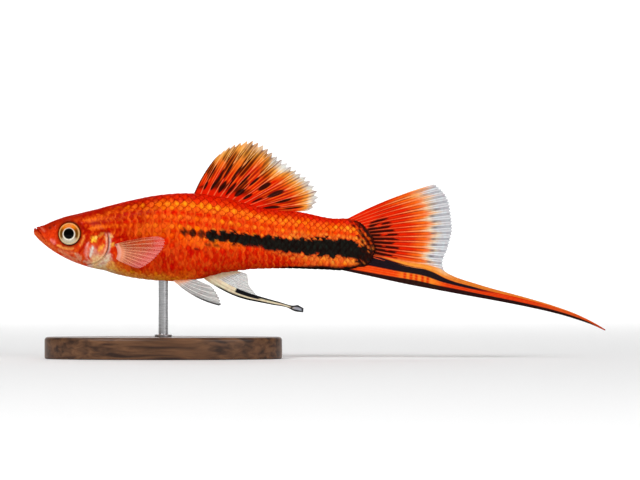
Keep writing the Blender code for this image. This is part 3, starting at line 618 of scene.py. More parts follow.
def plate_shape():
    """A disc of squared rings over a like disc, joined at the rim. Gives each point's place in the disc, from
    -1 to 1 rearwards and across, the faces, and which points are on top."""
    line = np.linspace(-1, 1, PLATE_CUTS + 1)
    a, b = np.meshgrid(line, line, indexing="ij")
    disc = np.stack([a * np.sqrt(1 - b * b / 2), b * np.sqrt(1 - a * a / 2)], -1).reshape(-1, 2)
    inner = ((np.abs(a) < 1) & (np.abs(b) < 1)).ravel()
    index, quads = grid_faces(*a.shape)
    under = np.where(inner, a.size - 1 + np.cumsum(inner), index.ravel())
    quads = np.concatenate([quads, under[quads[:, ::-1]]])
    disc = np.concatenate([disc, disc[inner]])
    return disc, quads, np.arange(len(disc)) < a.size


def lay_plates(x0, row, side, disc, top):
    """The disc stretched to each scale's size, laid on the body, tilted up rearwards and domed. Scales of the
    orange rows on the flank are lower than those of the red rows between them. Also gives each point's place
    round the ring, and the middle of each plate's bare part."""
    long = PLATE_LONG * np.interp(x0, *np.array(SCALE_LENGTH).T)[:, None]
    girth = np.interp(x0, stations, half_girth)
    above = (1 - np.interp(x0, stations, side_share)) * girth / ROWS_ABOVE
    tall = PLATE_TALL * np.where(row > 0, above, np.interp(x0, stations, row_height))[:, None]
    tall = tall * (1 + (RED_ROW_TALLER * np.cos(math.pi * row) * (row < 6) * (1 - ease(x0, 46, 58)))[:, None])
    x = x0[:, None] + long * disc[:, 0]
    ring = row_ring(x, row[:, None]) + tall * disc[:, 1] * (SIDE_SHARES - 1) / girth[:, None]
    ring = np.where(side[:, None] > 0, ring, -ring)
    points, normals = on_body(x, ring)
    size = long / FLANK_PLATE
    tilt = PLATE_TILT * (0.5 + 0.5 * ease(x0, 15, 27))[:, None]
    lift = (0.02 - tilt * (1 - disc[:, 0]) / 2 - 0.03 * (row[:, None] > 7)) * size
    dome = np.where(top, PLATE_DOME, 0.0) * (1 - (disc ** 2).sum(-1)) * size
    centre, _ = on_body(x0 + 0.3 * long[:, 0], row_ring(x0, row))
    return points + normals * (lift + dome)[..., None], ring, centre


def stripe_away(x, z):
    """Distance outside the side stripe's upper or lower limit, below zero inside it."""
    away = np.abs(z - line_through(STRIPE_MIDDLE)(x)) - np.interp(x, *np.array(STRIPE_HALF).T)
    beyond_end = np.maximum(STRIPE_FRONT - x, x - STRIPE_REAR)
    return np.where(beyond_end < 0, away, np.maximum(away, beyond_end * 2))


def stripe_spots(x, z):
    """How black each scale's spot is, and its reach: each spot is on the scale nearest to its place."""
    black, reach = np.zeros(len(x)), np.ones(len(x))
    for at, height, strength, wide in STRIPE_SPOTS:
        away = np.hypot(x - at, z - height)
        nearest = away < away.min() + 0.01
        black[nearest], reach[nearest] = strength, wide
    return black, reach


def scale_colours(x0, row, disc, points, ring, centre):
    """The markings where each plate is, some of its own hue, an orange rear edge on the red rows, and then
    the black stripe with its notched edge, the spots near it, and the flecks and lower edge of the tail."""
    x, z = points[..., 0], points[..., 2]
    draw = np.random.default_rng(4)
    base = markings(centre[:, 0], centre[:, 2], row_ring(x0, row) / (SIDE_SHARES - 1))
    here = markings(x, z, np.clip(np.abs(ring) / (SIDE_SHARES - 1), 0, 1))
    share = 0.6 * ease(x0, 12, 22)[:, None, None]
    colour = share * base[:, None, :] + (1 - share) * here
    uneven = ease(x0, 12, 26) * (1 - 0.75 * ease(base[:, 1], 0.15, 0.25))
    own_hue = draw.normal(0, (0.05, 0.18, 0.2), (len(x0), 1, 3)) * uneven[:, None, None]
    colour = colour * (1 + own_hue).clip(0.5, 1.6)
    edged = 0.6 * ((row % 2 == 0) & (row < 6)) * (1 - 0.6 * ease(-row, 1, 4) * (1 - ease(x0, 44, 56)))
    rear_edge = ease(np.hypot(disc[:, 0], disc[:, 1]), 0.55, 1.0)
    colour = tint(colour, (0.94, 0.15, 0.015), rear_edge * edged[:, None])
    front = 1 - ease(x0, 50, 58)[:, None]
    own = draw.normal(0, 0.26, (len(x0), 1)) * (1 - 0.5 * front) - 0.1
    notch = 0.45 * front * np.abs(np.cos(math.pi * (x - NOTCH_PLACE) / NOTCH_STEP)) ** 6
    beyond = stripe_away(x, z) + own + notch + 0.1 * np.sin(9 * x)
    rounded = 0.2 * (1 - ease(x0, 44, 58))[:, None]
    beyond = beyond + rounded * ((disc[:, 0] - 0.3) ** 2 + 0.6 * disc[:, 1] ** 2)
    colour = tint(colour, (0.80, 0.36, 0.05), 0.4 * bell(beyond - 0.55, 0.35) * ease(x, 50, 60))
    colour = tint(colour, (0.014, 0.013, 0.011), 1 - ease(beyond, -0.1, 0.16))
    colour = tint(colour, KEEL_BLACK, keel_line(x, z))
    colour = tint(colour, FLECK_BLACK, 0.9 * tail_flecks(x, z))
    spotted, reach = stripe_spots(centre[:, 0], centre[:, 2])
    off = np.hypot((disc[:, 0] - 0.35) / 0.75, disc[:, 1] / 0.55)
    spotted = spotted[:, None] * (1 - ease(off / reach[:, None], 0.85, 1.15))
    return tint(colour, (0.02, 0.012, 0.009), spotted)


def scale_strengths(x0, row, colour):
    """What scale_finish reads from a plate: how strong its rim line is, how strong its painted glint and the
    painted shade round it are, how high the glint sits, and how much of the orange strands it shows."""
    red_row = (row % 2 == 0) & (row < 6)
    fade = ease(x0, 12, 26)
    low, high = ease(-row, 1, 4), ease(row, 7, 9)
    rim = fade * np.where(row > 4, 0.9, np.where(red_row, 0.3, 0.5)) * (1 - 0.3 * high)
    rim = rim * (1 - 0.7 * low * (1 - ease(x0, 44, 58)))
    # Strength of the painted glint in each plate's middle and of the painted shade round it
    glint_and_shade = (0.3 + 0.7 * fade) * np.where(red_row, 0.15, 0.65) * (1 - high)
    glint_and_shade = glint_and_shade * (1 - 0.6 * low * (1 - ease(x0, 50, 60))) * (1 - 0.6 * ease(x0, 71, 75))
    strength = np.stack([rim, glint_and_shade, 1 - ease(row, 3, 5)], -1)[:, None, :] + 0 * colour
    streak = np.where(red_row, 0.75, np.where(row < -2, 0.5, 0.08)) * (row < 6)
    streak = (streak * ease(x0, 18, 27) * (1 - 0.6 * ease(x0, 44, 56)))[:, None]
    return strength, streak * (1 - ease(colour[..., 1], 0.16, 0.24))


def scale_finish():
    """Horn over colour: a dark thin line along the free edge, and a bright middle painted as a glint, in a
    plate darkened round it by painted shade, most at its front under the scale before it. The plate's own
    Strength says how much of the rim line and of the glint and shade it has, and how high the glint sits.
    Upright orange strands cross the red plates as far as their own Streak says."""
    material = smooth_finish("scale_horn", 0.36, 0.02, 0.5, 0.95, 0.1, 0.012, upright=0.4)
    tree = material.node_tree
    shader = tree.nodes["Principled BSDF"]

    def vector_math(operation, *values):
        node = add_node(tree, "VectorMath", dict(enumerate(values)), operation=operation)
        return node.outputs["Value" if operation == "LENGTH" else "Vector"]

    def blend(share, first, second):
        node = add_node(tree, "Mix", {"Factor": share, 4: first, 5: second}, data_type="VECTOR")
        return node.outputs[1]

    def banded(place, near, far, share):
        """A colour to multiply by: near to far by the distance from the middle, white where share is 0."""
        return blend(share, (1.0, 1.0, 1.0), add_ramp(tree, vector_math("LENGTH", place), near, far))

    disc = add_node(tree, "UVMap", uv_map="Plate").outputs["UV"]
    strength = add_node(tree, "Attribute", attribute_name="Strength").outputs["Vector"]
    parts = add_node(tree, "SeparateXYZ", {"Vector": strength}).outputs
    raised = add_node(tree, "CombineXYZ", {"Y": parts["Z"]}).outputs["Vector"]
    off = vector_math("SUBTRACT", disc, (0.5, 0.5, 0.0))
    rim = banded(off, (0.42, (1, 1, 1)), (0.475, (0.42, 0.10, 0.16)), parts["X"])
    off = vector_math("SUBTRACT", off, (0.22, 0.0, 0.0))
    off = vector_math("SUBTRACT", off, vector_math("MULTIPLY", raised, (0.0, 0.12, 0.0)))
    off = vector_math("MULTIPLY", off, (2.7, 1.7, 0.0))
    # Painted glint in each plate's bare middle, and painted shade round it, most at its front under the scale
    # before it
    glint_and_shade = banded(off, (0.12, (1.12, 1.6, 1.5)), (0.72, (0.86, 0.46, 0.48)), parts["Y"])
    painted = shader.inputs["Base Color"].links[0].from_socket
    plate = vector_math("MULTIPLY", vector_math("MULTIPLY", painted, rim), glint_and_shade)
    place = add_node(tree, "TexCoord").outputs["Object"]
    upright = add_node(tree, "Mapping", {"Vector": place, "Scale": (1.0, 0.42, 0.42)}).outputs["Vector"]
    strands = add_node(tree, "TexNoise", {"Vector": upright, "Scale": 1000 / 0.62, "Detail": 1})
    spread = {"Value": strands.outputs["Fac"], "From Min": 0.50, "From Max": 0.60}
    apart = add_node(tree, "MapRange", spread).outputs["Result"]
    streak = add_node(tree, "Attribute", attribute_name="Streak").outputs["Fac"]
    amount = add_node(tree, "Math", {0: apart, 1: streak}, operation="MULTIPLY").outputs["Value"]
    red = add_node(tree, "SeparateXYZ", {"Vector": plate}).outputs["X"]
    bright = add_node(tree, "VectorMath", {0: (1.14, 0.115, 0.010), "Scale": red}, operation="SCALE")
    tree.links.new(blend(amount, plate, bright.outputs["Vector"]), shader.inputs["Base Color"])
    return material


x0, row, side = scale_places()
disc, plate_faces, on_top = plate_shape()
plate_points, plate_ring, centre = lay_plates(x0, row, side, disc, on_top)
plate_paint = scale_colours(x0, row, disc, plate_points, plate_ring, centre)
plate_strength, plate_streak = scale_strengths(x0, row, plate_paint)
faces = plate_faces[None] + (len(disc) * np.arange(len(x0)))[:, None, None]
faces = np.where((side > 0)[:, None, None], faces, faces[..., ::-1]).reshape(-1, 4)
scales = add_piece("scales", plate_points.reshape(-1, 3), faces.tolist(), scale_finish(), plate_paint)
scales.data.attributes.new("Strength", "FLOAT_VECTOR", "POINT").data.foreach_set(
    "vector", plate_strength.astype(np.float32).ravel())
scales.data.attributes.new("Streak", "FLOAT", "POINT").data.foreach_set(
    "value", plate_streak.astype(np.float32).ravel())
# Two maps: each plate's own disc for its finish, and for baking a small patch each, by its x and its turn
corner = np.empty(len(scales.data.loops), np.int32)
scales.data.loops.foreach_get("vertex_index", corner)
flat_disc = np.broadcast_to(0.5 + 0.5 * disc, plate_points.shape[:2] + (2,)).reshape(-1, 2)
root = np.stack([x0 / 80, 0.5 + plate_ring.mean(axis=1) / RING * 0.94], -1)[:, None, :]
patches = (root + 0.003 * (disc / 2)).reshape(-1, 2)
for map_name, places in (("Plate", flat_disc), ("OFBake", patches)):
    scales.data.uv_layers.new(name=map_name).data.foreach_set("uv", places[corner].ravel().astype(np.float32))
scales.data.set_sharp_from_angle(angle=math.radians(60))


# The eyes. Each is a clear ball in a bony socket, with a gold iris round a black pupil and its lens just
# behind the front. Here it is one glossy dome, painted, with its ring a little proud, sunk in the skin.
EYE_RADIUS, EYE_FRONT, EYE_DEPTH = 2.62, 0.92, 1.35
EYE_CUTS = 96


def eye_frame(side):
    """The middle of an eye on the smooth body, and three directions there: out, rearwards and up."""
    ring = np.interp(EYE_Z, side_z[np.abs(stations - EYE_X).argmin()], np.arange(SIDE_SHARES))
    point, normal = on_body(np.array([EYE_X]), np.array([ring]))
    out = normal[0] * (1, side, 1)
    up = np.array((0.0, 0.0, 1.0)) - out * out[2]
    up /= np.linalg.norm(up)
    rear = np.array((1.0, 0.0, 0.0)) - out * out[0]
    rear -= up * (rear @ up)
    return point[0] * (1, side, 1), out, rear / np.linalg.norm(rear), up


def eye_colours(radius, turn):
    """Rings round the pupil by radius in millimetres, and by the turn from the rear upwards."""
    up, rear = np.sin(turn), np.cos(turn)
    colour = plain(radius, (0.50, 0.19, 0.03))
    colour = tint(colour, (0.84, 0.20, 0.007), ease(up, -0.1, 0.6))
    colour = tint(colour, (0.12, 0.045, 0.006), ease(np.abs(rear), 0.6, 0.95) * bell(radius - 1.8, 0.4))
    colour = tint(colour, (0.62, 0.55, 0.40), ease(-up, 0.35, 0.85))
    ray = 0.5 + 0.5 * np.sin(turn * 46 + 3 * np.sin(radius * 5))
    colour = colour * (0.80 + 0.28 * ray * ease(radius, 1.4, 1.8))[..., None]
    outer = 1.41 - 0.12 * up
    pupil_ring = ease(radius, 1.2, 1.25) * (1 - ease(radius, outer - 0.05, outer + 0.12))
    colour = tint(colour, (0.84, 0.78, 0.64), pupil_ring)
    outer_ring = 0.85 * bell(radius - 2.28, 0.1) * (0.6 + 0.4 * ease(-up, -0.6, 0.4))
    colour = tint(colour, (0.92, 0.66, 0.30), outer_ring)
    # Painted shade on the eye's edge, where it sinks under the rim of its socket
    colour = tint(colour, (0.10, 0.02, 0.006), ease(radius, 2.4, 2.5))
    return tint(colour, (0.003, 0.003, 0.004), 1 - ease(radius, 1.19, 1.26))


def eye_dome():
    """Radius and height of an eye's rings: a flat half ellipse in front, raised a little over the pupil, and
    a half ellipse behind."""
    radius = np.concatenate([np.linspace(0.05, 2.2, 30), np.linspace(2.26, EYE_RADIUS, 8)])
    front = EYE_FRONT * np.sqrt(np.clip(1 - (radius / EYE_RADIUS) ** 2, 0, 1))
    front = front + 0.05 * (1 - ease(radius, 1.0, 1.35)) - 0.05 * bell(radius - 2.36, 0.07)
    rear_radius = radius[-2::-3]
    rear = -EYE_DEPTH * np.sqrt(1 - (rear_radius / EYE_RADIUS) ** 2)
    return np.concatenate([radius, rear_radius]), np.concatenate([front, rear])


eye_gloss = smooth_finish("eye_gloss", 0.14, 0.14, 0.3, 0.3, 0.2, 0.002)
eye_gloss.node_tree.nodes["Principled BSDF"].inputs["Coat Roughness"].default_value = 0.03
for word, side in (("left", -1), ("right", 1)):
    radius, height = eye_dome()
    turn = np.linspace(0, 2 * math.pi, EYE_CUTS, endpoint=False)
    middle, out, rear, up = eye_frame(side)
    wheel = np.cos(turn)[:, None] * rear + np.sin(turn)[:, None] * up
    rings = middle + out * height[:, None, None] + wheel * radius[:, None, None]
    poles = np.array([middle + out * height[0], middle + out * height[-1]])
    paint = eye_colours(radius[:, None] + 0 * turn, turn + 0 * radius[:, None])
    add_rings("eyeball_" + word, rings, poles, eye_gloss, paint, ("eye_" + word,), side < 0)


# The dorsal fin. A sail of 13 soft rays, each forked twice towards its tip, with a thin web between them.
# It is red at its root, orange further out and pale at its ragged edge, with two rows of black spots.
RAY_COLUMNS = 22
DORSAL_RAYS = 13
DORSAL_ROOT = ((36.5, 10.6), (42.6, 9.7), (47.2, 8.8), (53.9, 6.7))
DORSAL_TIP = (
    (42.0, 19.4), (44.7, 21.4), (47.4, 22.4), (49.9, 22.7), (52.8, 21.7), (55.9, 19.0), (58.9, 16.7),
    (61.5, 15.1), (63.8, 12.6), (65.0, 9.5), (63.5, 6.9),
)
# Place in the fin, half length along the rays and half width of each black spot or streak
DORSAL_SPOTS = (
    (39.2, 12.35, 1.0, 0.40), (40.8, 12.25, 1.0, 0.42), (42.9, 12.1, 1.5, 0.42), (44.9, 11.6, 1.8, 0.46),
    (46.8, 10.7, 1.2, 0.55), (48.7, 9.9, 1.1, 0.46), (50.8, 9.0, 1.3, 0.40), (54.0, 7.4, 1.8, 0.3),
    (50.2, 13.3, 1.5, 0.50), (52.5, 12.1, 1.5, 0.62), (54.9, 10.5, 1.9, 0.60), (56.8, 8.8, 1.8, 0.54),
    (59.1, 7.3, 2.2, 0.34), (40.9, 15.75, 1.4, 0.36), (42.3, 14.3, 2.0, 0.28), (44.2, 15.6, 1.9, 0.3),
    (46.2, 15.2, 2.0, 0.34), (48.4, 17.2, 2.0, 0.22), (47.9, 13.6, 1.9, 0.38), (45.2, 13.3, 1.5, 0.3),
)


def rayed_fin(root_points, tip_points, bow, rays, rows, notch, seed, sunk=0.9, fork=0.45):
    """A fin's flat grid: lines from the root path to the tip path, each bowed as a parabola and starting sunk
    in the body. The edge is cut back by notch between the two points of each forked ray. Also gives each
    point's place in rays (c), its share of length (u), how near it is to a ray (1 on it), and its distance
    out from the root. A ray forks in two at the share fork and again at three quarters."""
    c = np.linspace(0, rays - 1, (rays - 1) * RAY_COLUMNS + 1)
    v = c / (rays - 1)
    start, end = path_through(root_points)(v), path_through(tip_points)(v)
    length = np.linalg.norm(end - start, axis=-1)
    way = (end - start) / length[:, None]
    normal = np.stack([-way[:, 1], way[:, 0]], axis=-1)
    tips = 1 - 4 * np.abs(off_ray(c) - 0.25)
    draw = np.random.default_rng(seed)
    ragged = np.interp(c, np.arange(rays), draw.uniform(0, 0.4 * notch, rays))
    reach = length * (1 - notch * (1 - tips) - ragged)
    along = -sunk + (reach + sunk) * np.linspace(0, 1, rows)[:, None]
    u = np.clip(along / length, 0, 1)
    flat = start + way * along[..., None] + normal * (bow(v) * 4 * u * (1 - u))[..., None]
    apart = np.linalg.norm(np.gradient(flat, c, axis=1), axis=-1)
    c = c + 0 * u
    return flat, c, u, ray_nearness(c, u, apart, fork), along


def off_ray(c):
    """How far a place in rays is from the nearest ray, from 0 to a half."""
    return np.abs(c - np.round(c))


def ray_nearness(c, u, apart, fork):
    """1 on a ray's middle line, falling off as a bell 0.1 mm wide. Past its forks a ray is two, then four."""
    off = off_ray(c)
    first = 0.25 * ease(u, fork, 1.15)
    second = 0.11 * ease(u, 0.72, 1.1)
    away = np.minimum(np.abs(off - first - second), np.abs(off - first + second))
    return bell(away * apart, 0.11 - 0.03 * u)


def fin_half(near, u, web=0.09, ray=0.13):
    """Half a fin's thickness, from its web's and its rays', which thins to the edge."""
    return web * (1 - 0.6 * ease(u, 0.75, 1.0)) + ray * near * (1 - 0.6 * u)


def add_fin(name, flat, half, paint, node, out=0.0):
    """A closed thin body: the flat grid, out from the middle plane by out, less and plus half its thickness,
    with a wall round the edge."""
    near, far = (np.stack([flat[..., 0], out + way * half, flat[..., 1]], axis=-1) for way in (-1, 1))
    index, face = grid_faces(*near.shape[:2])
    rim = np.concatenate([index[0, :-1], index[:-1, -1], index[-1, :0:-1], index[:0:-1, 0]])
    after = np.roll(rim, -1)
    wall = np.stack([rim, after, after + index.size, rim + index.size], -1)
    faces = np.concatenate([face, face[:, ::-1] + index.size, wall])
    turned_in = np.cross(near[1, 0] - near[0, 0], near[0, 1] - near[0, 0]) @ (far[0, 0] - near[0, 0]) <= 0
    faces = (faces[:, ::-1] if turned_in else faces).tolist()
    points = np.concatenate([near.reshape(-1, 3), far.reshape(-1, 3)])
    return add_piece(name, points, faces, fin_skin, np.concatenate([paint.reshape(-1, 4)] * 2), (node,))


def see_through(colour, solid):
    """The colours with how solid each point is, from 0 to 1, as their fourth part."""
    return np.concatenate([colour, solid[..., None]], -1)


def fin_spots(flat, c, along, spots):
    """How black a fin is: ovals along its rays, each at a place, with a half length and a half width."""
    apart = np.linalg.norm(np.gradient(flat, c[0], axis=1), axis=-1)
    black = np.zeros(c.shape)
    for x, z, long, wide in spots:
        at = np.unravel_index(np.hypot(flat[..., 0] - x, flat[..., 1] - z).argmin(), c.shape)
        off = np.hypot((c - c[at]) * apart[at] / wide, (along - along[at]) / long)
        black = np.maximum(black, 1 - ease(off, 0.9, 1.3))
    return black


def dorsal_colours(flat, c, u, near, along):
    """Bands by share of length, sooner on the light rays than on the web, black spots, and dark threads."""
    off = off_ray(c)
    front = 1 - ease(c, 3.0, 6.0)
    v = u + 0.07 * near - 0.05 + 0.12 * (dapple(c * 2.2, 0 * u, 3.0, 14) - 0.5)
    colour = plain(c, (0.74, 0.016, 0.004))
    colour = tint(colour, (0.90, 0.14, 0.012), ease(v, 0.52 - 0.18 * front, 0.66 - 0.12 * front))
    colour = tint(colour, (0.95, 0.38, 0.06), ease(v, 0.62 - 0.12 * front, 0.78))
    colour = tint(colour, (0.84, 0.66, 0.44), ease(v, 0.75, 0.86) * (1 - 0.8 * front))
    colour = tint(colour, (0.72, 0.71, 0.69), ease(v, 0.83, 0.94) * (1 - 0.9 * front))
    light = plain(c, (0.92, 0.20, 0.07))
    light = tint(light, (0.97, 0.50, 0.17), ease(v, 0.38, 0.74))
    light = tint(light, (0.90, 0.84, 0.74), ease(v, 0.74, 0.90) * (1 - 0.9 * front))
    colour = tint(colour, light, 0.85 * near)
    dark = (0.3 + 0.55 * (1 - ease(c, 4.5, 8))) * ease(u, 0.06, 0.2) * (1 - 0.5 * ease(u, 0.5, 0.85))
    dark = dark * (0.12 + 1.35 * ease(dapple(c * 2.4, u * 6, 3.0, 2), 0.36, 0.68))
    dark = dark * ease(1 - near, 0.45, 0.95)
    branch = bell(off - 0.30, 0.06) * ease(u, 0.15, 0.3)
    colour = tint(colour, (0.93, 0.18, 0.02), 0.75 * branch * (1 - ease(u, 0.5, 0.7)))
    thread = (bell(off - 0.5, 0.055) + 0.8 * bell(off - 0.19 - 0.03 * u, 0.05)) * ease(u, 0.28, 0.5)
    thread = np.clip(1.1 * thread * (0.1 + dapple(c * 3, u * 4, 2.2, 6)), 0, 0.92)
    colour = tint(colour, (0.17, 0.022, 0.008), thread)
    dark = np.clip(dark * (1 - 0.75 * branch), 0, 0.92)
    colour = tint(colour, (0.075, 0.010, 0.004), dark * (1 - 0.8 * ease(u, 0.9, 1.0)))
    colour = tint(colour, (0.022, 0.007, 0.006), 0.96 * fin_spots(flat, c, along, DORSAL_SPOTS))
    colour = tint(colour, (0.16, 0.016, 0.006), (1 - ease(c, 0.05, 0.35)) * (1 - ease(u, 0.8, 1)))
    return see_through(colour, 1 - 0.35 * (1 - near) * ease(u, 0.82, 0.95) * (1 - 0.8 * front))


fin_skin = smooth_finish("fin_skin", 0.42, 0.05, 0.8, 0.22, 0.15, 0.02, clear=True)
flat, c, u, near, along = rayed_fin(
    DORSAL_ROOT, DORSAL_TIP, lambda v: 0.45 - 0.85 * v, DORSAL_RAYS, rows=76, notch=0.075, seed=21)
ripple = 0.14 * np.sin(c * 1.9 + 3 * u) * ease(u, 0.1, 0.8)
paint = dorsal_colours(flat, c, u, near, along)
add_fin("dorsal_sail", flat, fin_half(near, u), paint, "dorsal_fin", ripple)


# The tail fin. Sixteen rays spread from the scaled tail base, each forked twice, with a thin web between
# them. Its root is red with black flecks between the rays, and its outer third is clear and greyish white.
CAUDAL_RAYS = 16
CAUDAL_ROOT = ((71.6, 5.0), (74.3, 3.9), (76.3, 1.9), (77.3, -0.4), (77.6, -2.4), (77.2, -4.0))
CAUDAL_TIP = (
    (91.4, 12.75), (94.0, 10.0), (95.1, 6.0), (95.2, 1.8), (94.3, -1.8), (93.1, -5.6), (93.7, -7.35),
)


def caudal_colours(c, u, near):
    """Red, orange and greyish white by share of length, sooner on the light rays than on the web, with dark
    threads, and black streaks and grey dashes on the web."""
    off = off_ray(c)
    top = 1 - ease(c, 0.3, 3.5)
    low = ease(c, 13.0, 15.0)
    v = u + 0.06 * near - 0.04 + 0.10 * (dapple(c * 2.2, 0 * u, 3.0, 4) - 0.5)
    colour = plain(c, (0.76, 0.020, 0.004))
    colour = tint(colour, (0.90, 0.13, 0.012), ease(v, 0.42 - 0.14 * top, 0.62))
    colour = tint(colour, (0.92, 0.34, 0.07), ease(v, 0.60, 0.74))
    colour = tint(colour, (0.80, 0.56, 0.34), ease(v, 0.66, 0.76) * (1 - top))
    colour = tint(colour, (0.50, 0.51, 0.54), ease(v, 0.73 + 0.05 * top, 0.84 + 0.08 * top))
    colour = tint(colour, (0.95, 0.30, 0.03), low * (1 - ease(u, 0.80, 1.0)) * ease(u, 0.2, 0.4))
    light = plain(c, (0.90, 0.15, 0.05))
    light = tint(light, (0.95, 0.34, 0.12), ease(v, 0.25, 0.6))
    light = tint(light, (0.94, 0.78, 0.60), ease(v, 0.62, 0.74) * (1 - top))
    light = tint(light, (0.93, 0.93, 0.94), ease(v, 0.73 + 0.06 * top, 0.84 + 0.08 * top))
    colour = tint(colour, light, 0.75 * near)
    thread = bell(off - 0.2 - 0.05 * u, 0.07) * ease(u, 0.12, 0.3)
    thread = thread * (0.4 + 0.9 * dapple(c * 3, u * 9, 4.0, 6))
    colour = tint(colour, (0.20, 0.015, 0.008), np.clip(0.75 * thread, 0, 0.9) * (1 - ease(u, 0.62, 0.76)))
    colour = tint(colour, (0.22, 0.22, 0.25), 0.7 * bell(off - 0.38, 0.07) * ease(u, 0.66, 0.8) * (1 - low))
    draw = np.random.default_rng(8)
    gap = np.clip(np.floor(c).astype(int), 0, CAUDAL_RAYS - 2)
    reach = draw.uniform(0.25, 0.31, CAUDAL_RAYS)[gap] + np.interp(c, (4, 8), (-0.05, 0.04))
    start = np.interp(c, (3, 4.5, 7, 15), (0.30, 0.06, -0.05, -0.1))
    streak = ease(u, start, start + 0.05) * (1 - ease(u, reach, reach + 0.06))
    streak = streak * ease(c, 3.2, 4.2) * (c < 14.7)
    broken = ease(dapple(c * 2.6, u * 14, 2.6, 12) - 1.6 * (u - 0.18), 0.0, 0.3)
    between = bell(off - 0.5, 0.46 - 0.8 * np.clip(u, 0, 0.3))
    colour = tint(colour, (0.014, 0.007, 0.006), np.clip(1.5 * streak * broken * between, 0, 0.97))
    at = draw.uniform(0.76, 0.84, CAUDAL_RAYS)[gap]
    dash = bell(u - at, 0.035) * bell(off - 0.5, 0.16) * ease(c, 2.5, 4)
    colour = tint(colour, (0.12, 0.11, 0.13), 0.8 * dash)
    return see_through(colour, 1 - 0.30 * (1 - near) * ease(u, 0.72, 0.9))


flat, c, u, near, along = rayed_fin(
    CAUDAL_ROOT, CAUDAL_TIP, lambda v: 0.6 - 1.0 * v, CAUDAL_RAYS, rows=62, notch=0.02, seed=22, sunk=2.2,
    fork=0.3)
ripple = 0.12 * np.sin(c * 1.2 + 2 * u) * ease(u, 0.2, 1.0)
add_fin("tail_fan", flat, fin_half(near, u), caudal_colours(c, u, near), "caudal_fin", ripple)


# The sword. The lowest rays of the tail fin, grown far out behind it and lying close together like a blade.
# Its upper edge is gold, then comes a black band that tapers out, a red middle, and a black lower edge.
SWORD_UPPER = (
    (76.9, -3.6), (78.2, -3.75), (85.0, -5.05), (92.4, -6.55), (94.6, -7.8), (101.5, -10.2),
    (112.4, -13.2), (117.8, -14.8), (123.3, -16.8), (127.4, -18.8), (130.0, -20.35),
)
SWORD_LOWER = (
    (69.6, -6.9), (74.2, -7.8), (85.1, -10.1), (96.0, -12.15), (112.4, -15.25), (117.8, -16.45),
    (123.3, -18.0), (127.4, -19.45), (129.9, -20.6),
)
SWORD_CORNER = ((76.9, -3.6), (76.6, -4.4), (75.2, -5.4), (72.8, -6.2), (69.6, -6.9))
# Ridges along the blade, and cross joints in a millimetre of it
SWORD_RIDGES, SWORD_JOINTS = 9, 1.7
SWORD_BARS = (84.4, 85.8, 87.0, 88.4, 89.6)


def sword_grid(rows, columns):
    """The blade's flat grid, straight across from its upper to its lower line, with its front end drawn round
    the tail's corner. Also gives the shares across and along."""
    across = np.linspace(0, 1, columns)[:, None]
    u = np.linspace(0, 1, rows)[:, None] ** 1.05
    upper, lower = path_through(SWORD_UPPER), path_through(SWORD_LOWER)
    top, low = upper(u), lower(u)
    straight = upper(0.0) + (lower(0.0) - upper(0.0)) * across
    sunk = np.array((-0.9, 0.35)) * ((1 - u[..., None]) ** 12)
    corner = (path_through(SWORD_CORNER)(across[:, 0]) - straight) * (1 - u[..., None]) ** 6
    return top + (low - top) * across + corner + sunk, across[:, 0] + 0 * u, u + 0 * across[:, 0]


def sword_colours(x, v, near):
    """Strips by share of the blade's depth, v, and by x, with dark bars on the red middle."""
    colour = plain(x, (0.84, 0.055, 0.006))
    colour = tint(colour, (0.95, 0.26, 0.02), ease(x, 82, 85) * (1 - ease(x, 90, 94)))
    bars = sum(bell(x - at + 0.35 * (v - 0.6), 0.38) for at in SWORD_BARS)
    colour = tint(colour, (0.72, 0.03, 0.005), np.clip(1.15 * bars, 0, 1) * ease(v, 0.42, 0.5))
    colour = tint(colour, (0.68, 0.026, 0.005), 0.8 * ease(x, 91, 97))
    colour = tint(colour, (0.70, 0.10, 0.02), 0.7 * ease(x, 110, 120))
    gold_end = np.interp(x, (79, 84, 92, 96, 104, 118), (0.02, 0.10, 0.22, 0.25, 0.24, 0.16))
    band_end = np.interp(x, (76, 79, 84, 92, 99, 104, 108), (0.42, 0.44, 0.46, 0.47, 0.44, 0.36, 0.28))
    black = ease(v, gold_end - 0.02, gold_end + 0.03) * (1 - ease(v, band_end - 0.02, band_end + 0.03))
    gold = (1 - ease(v, gold_end - 0.03, gold_end + 0.02)) * ease(x, 78, 81)
    colour = tint(colour, (0.90, 0.31, 0.04), gold)
    colour = tint(colour, (0.66, 0.17, 0.022), 0.8 * gold * ease(x, 91, 97))
    colour = tint(colour, (0.90, 0.58, 0.30), 0.75 * bell(x - 93.0, 1.6) * (1 - ease(v, 0.02, 0.2)))
    colour = tint(colour, (0.010, 0.011, 0.015), 0.99 * black * (1 - ease(x, 100, 107)))
    under = np.interp(x, (70, 78, 86, 95, 115, 130), (0.84, 0.80, 0.75, 0.69, 0.60, 0.5))
    lower_edge = 0.98 * ease(v, under - 0.03, under + 0.02) * (1 - ease(x, 126, 129))
    colour = tint(colour, (0.014, 0.010, 0.010), lower_edge)
    colour = tint(colour, (0.95, 0.28, 0.06), 0.22 * near * (1 - black) * (v < under))
    return see_through(colour, np.ones(x.shape))


flat, v, u = sword_grid(rows=240, columns=82)
lane = v * (SWORD_RIDGES - 1)
near = bell(off_ray(lane), 0.22)
joints = 1 - 0.35 * bell((flat[..., 0] * SWORD_JOINTS) % 1 - 0.5, 0.12)
half = fin_half(near * joints, 0.8 * u, web=0.12)
add_fin("sword_blade", flat, half, sword_colours(flat[..., 0], v, near), "sword")


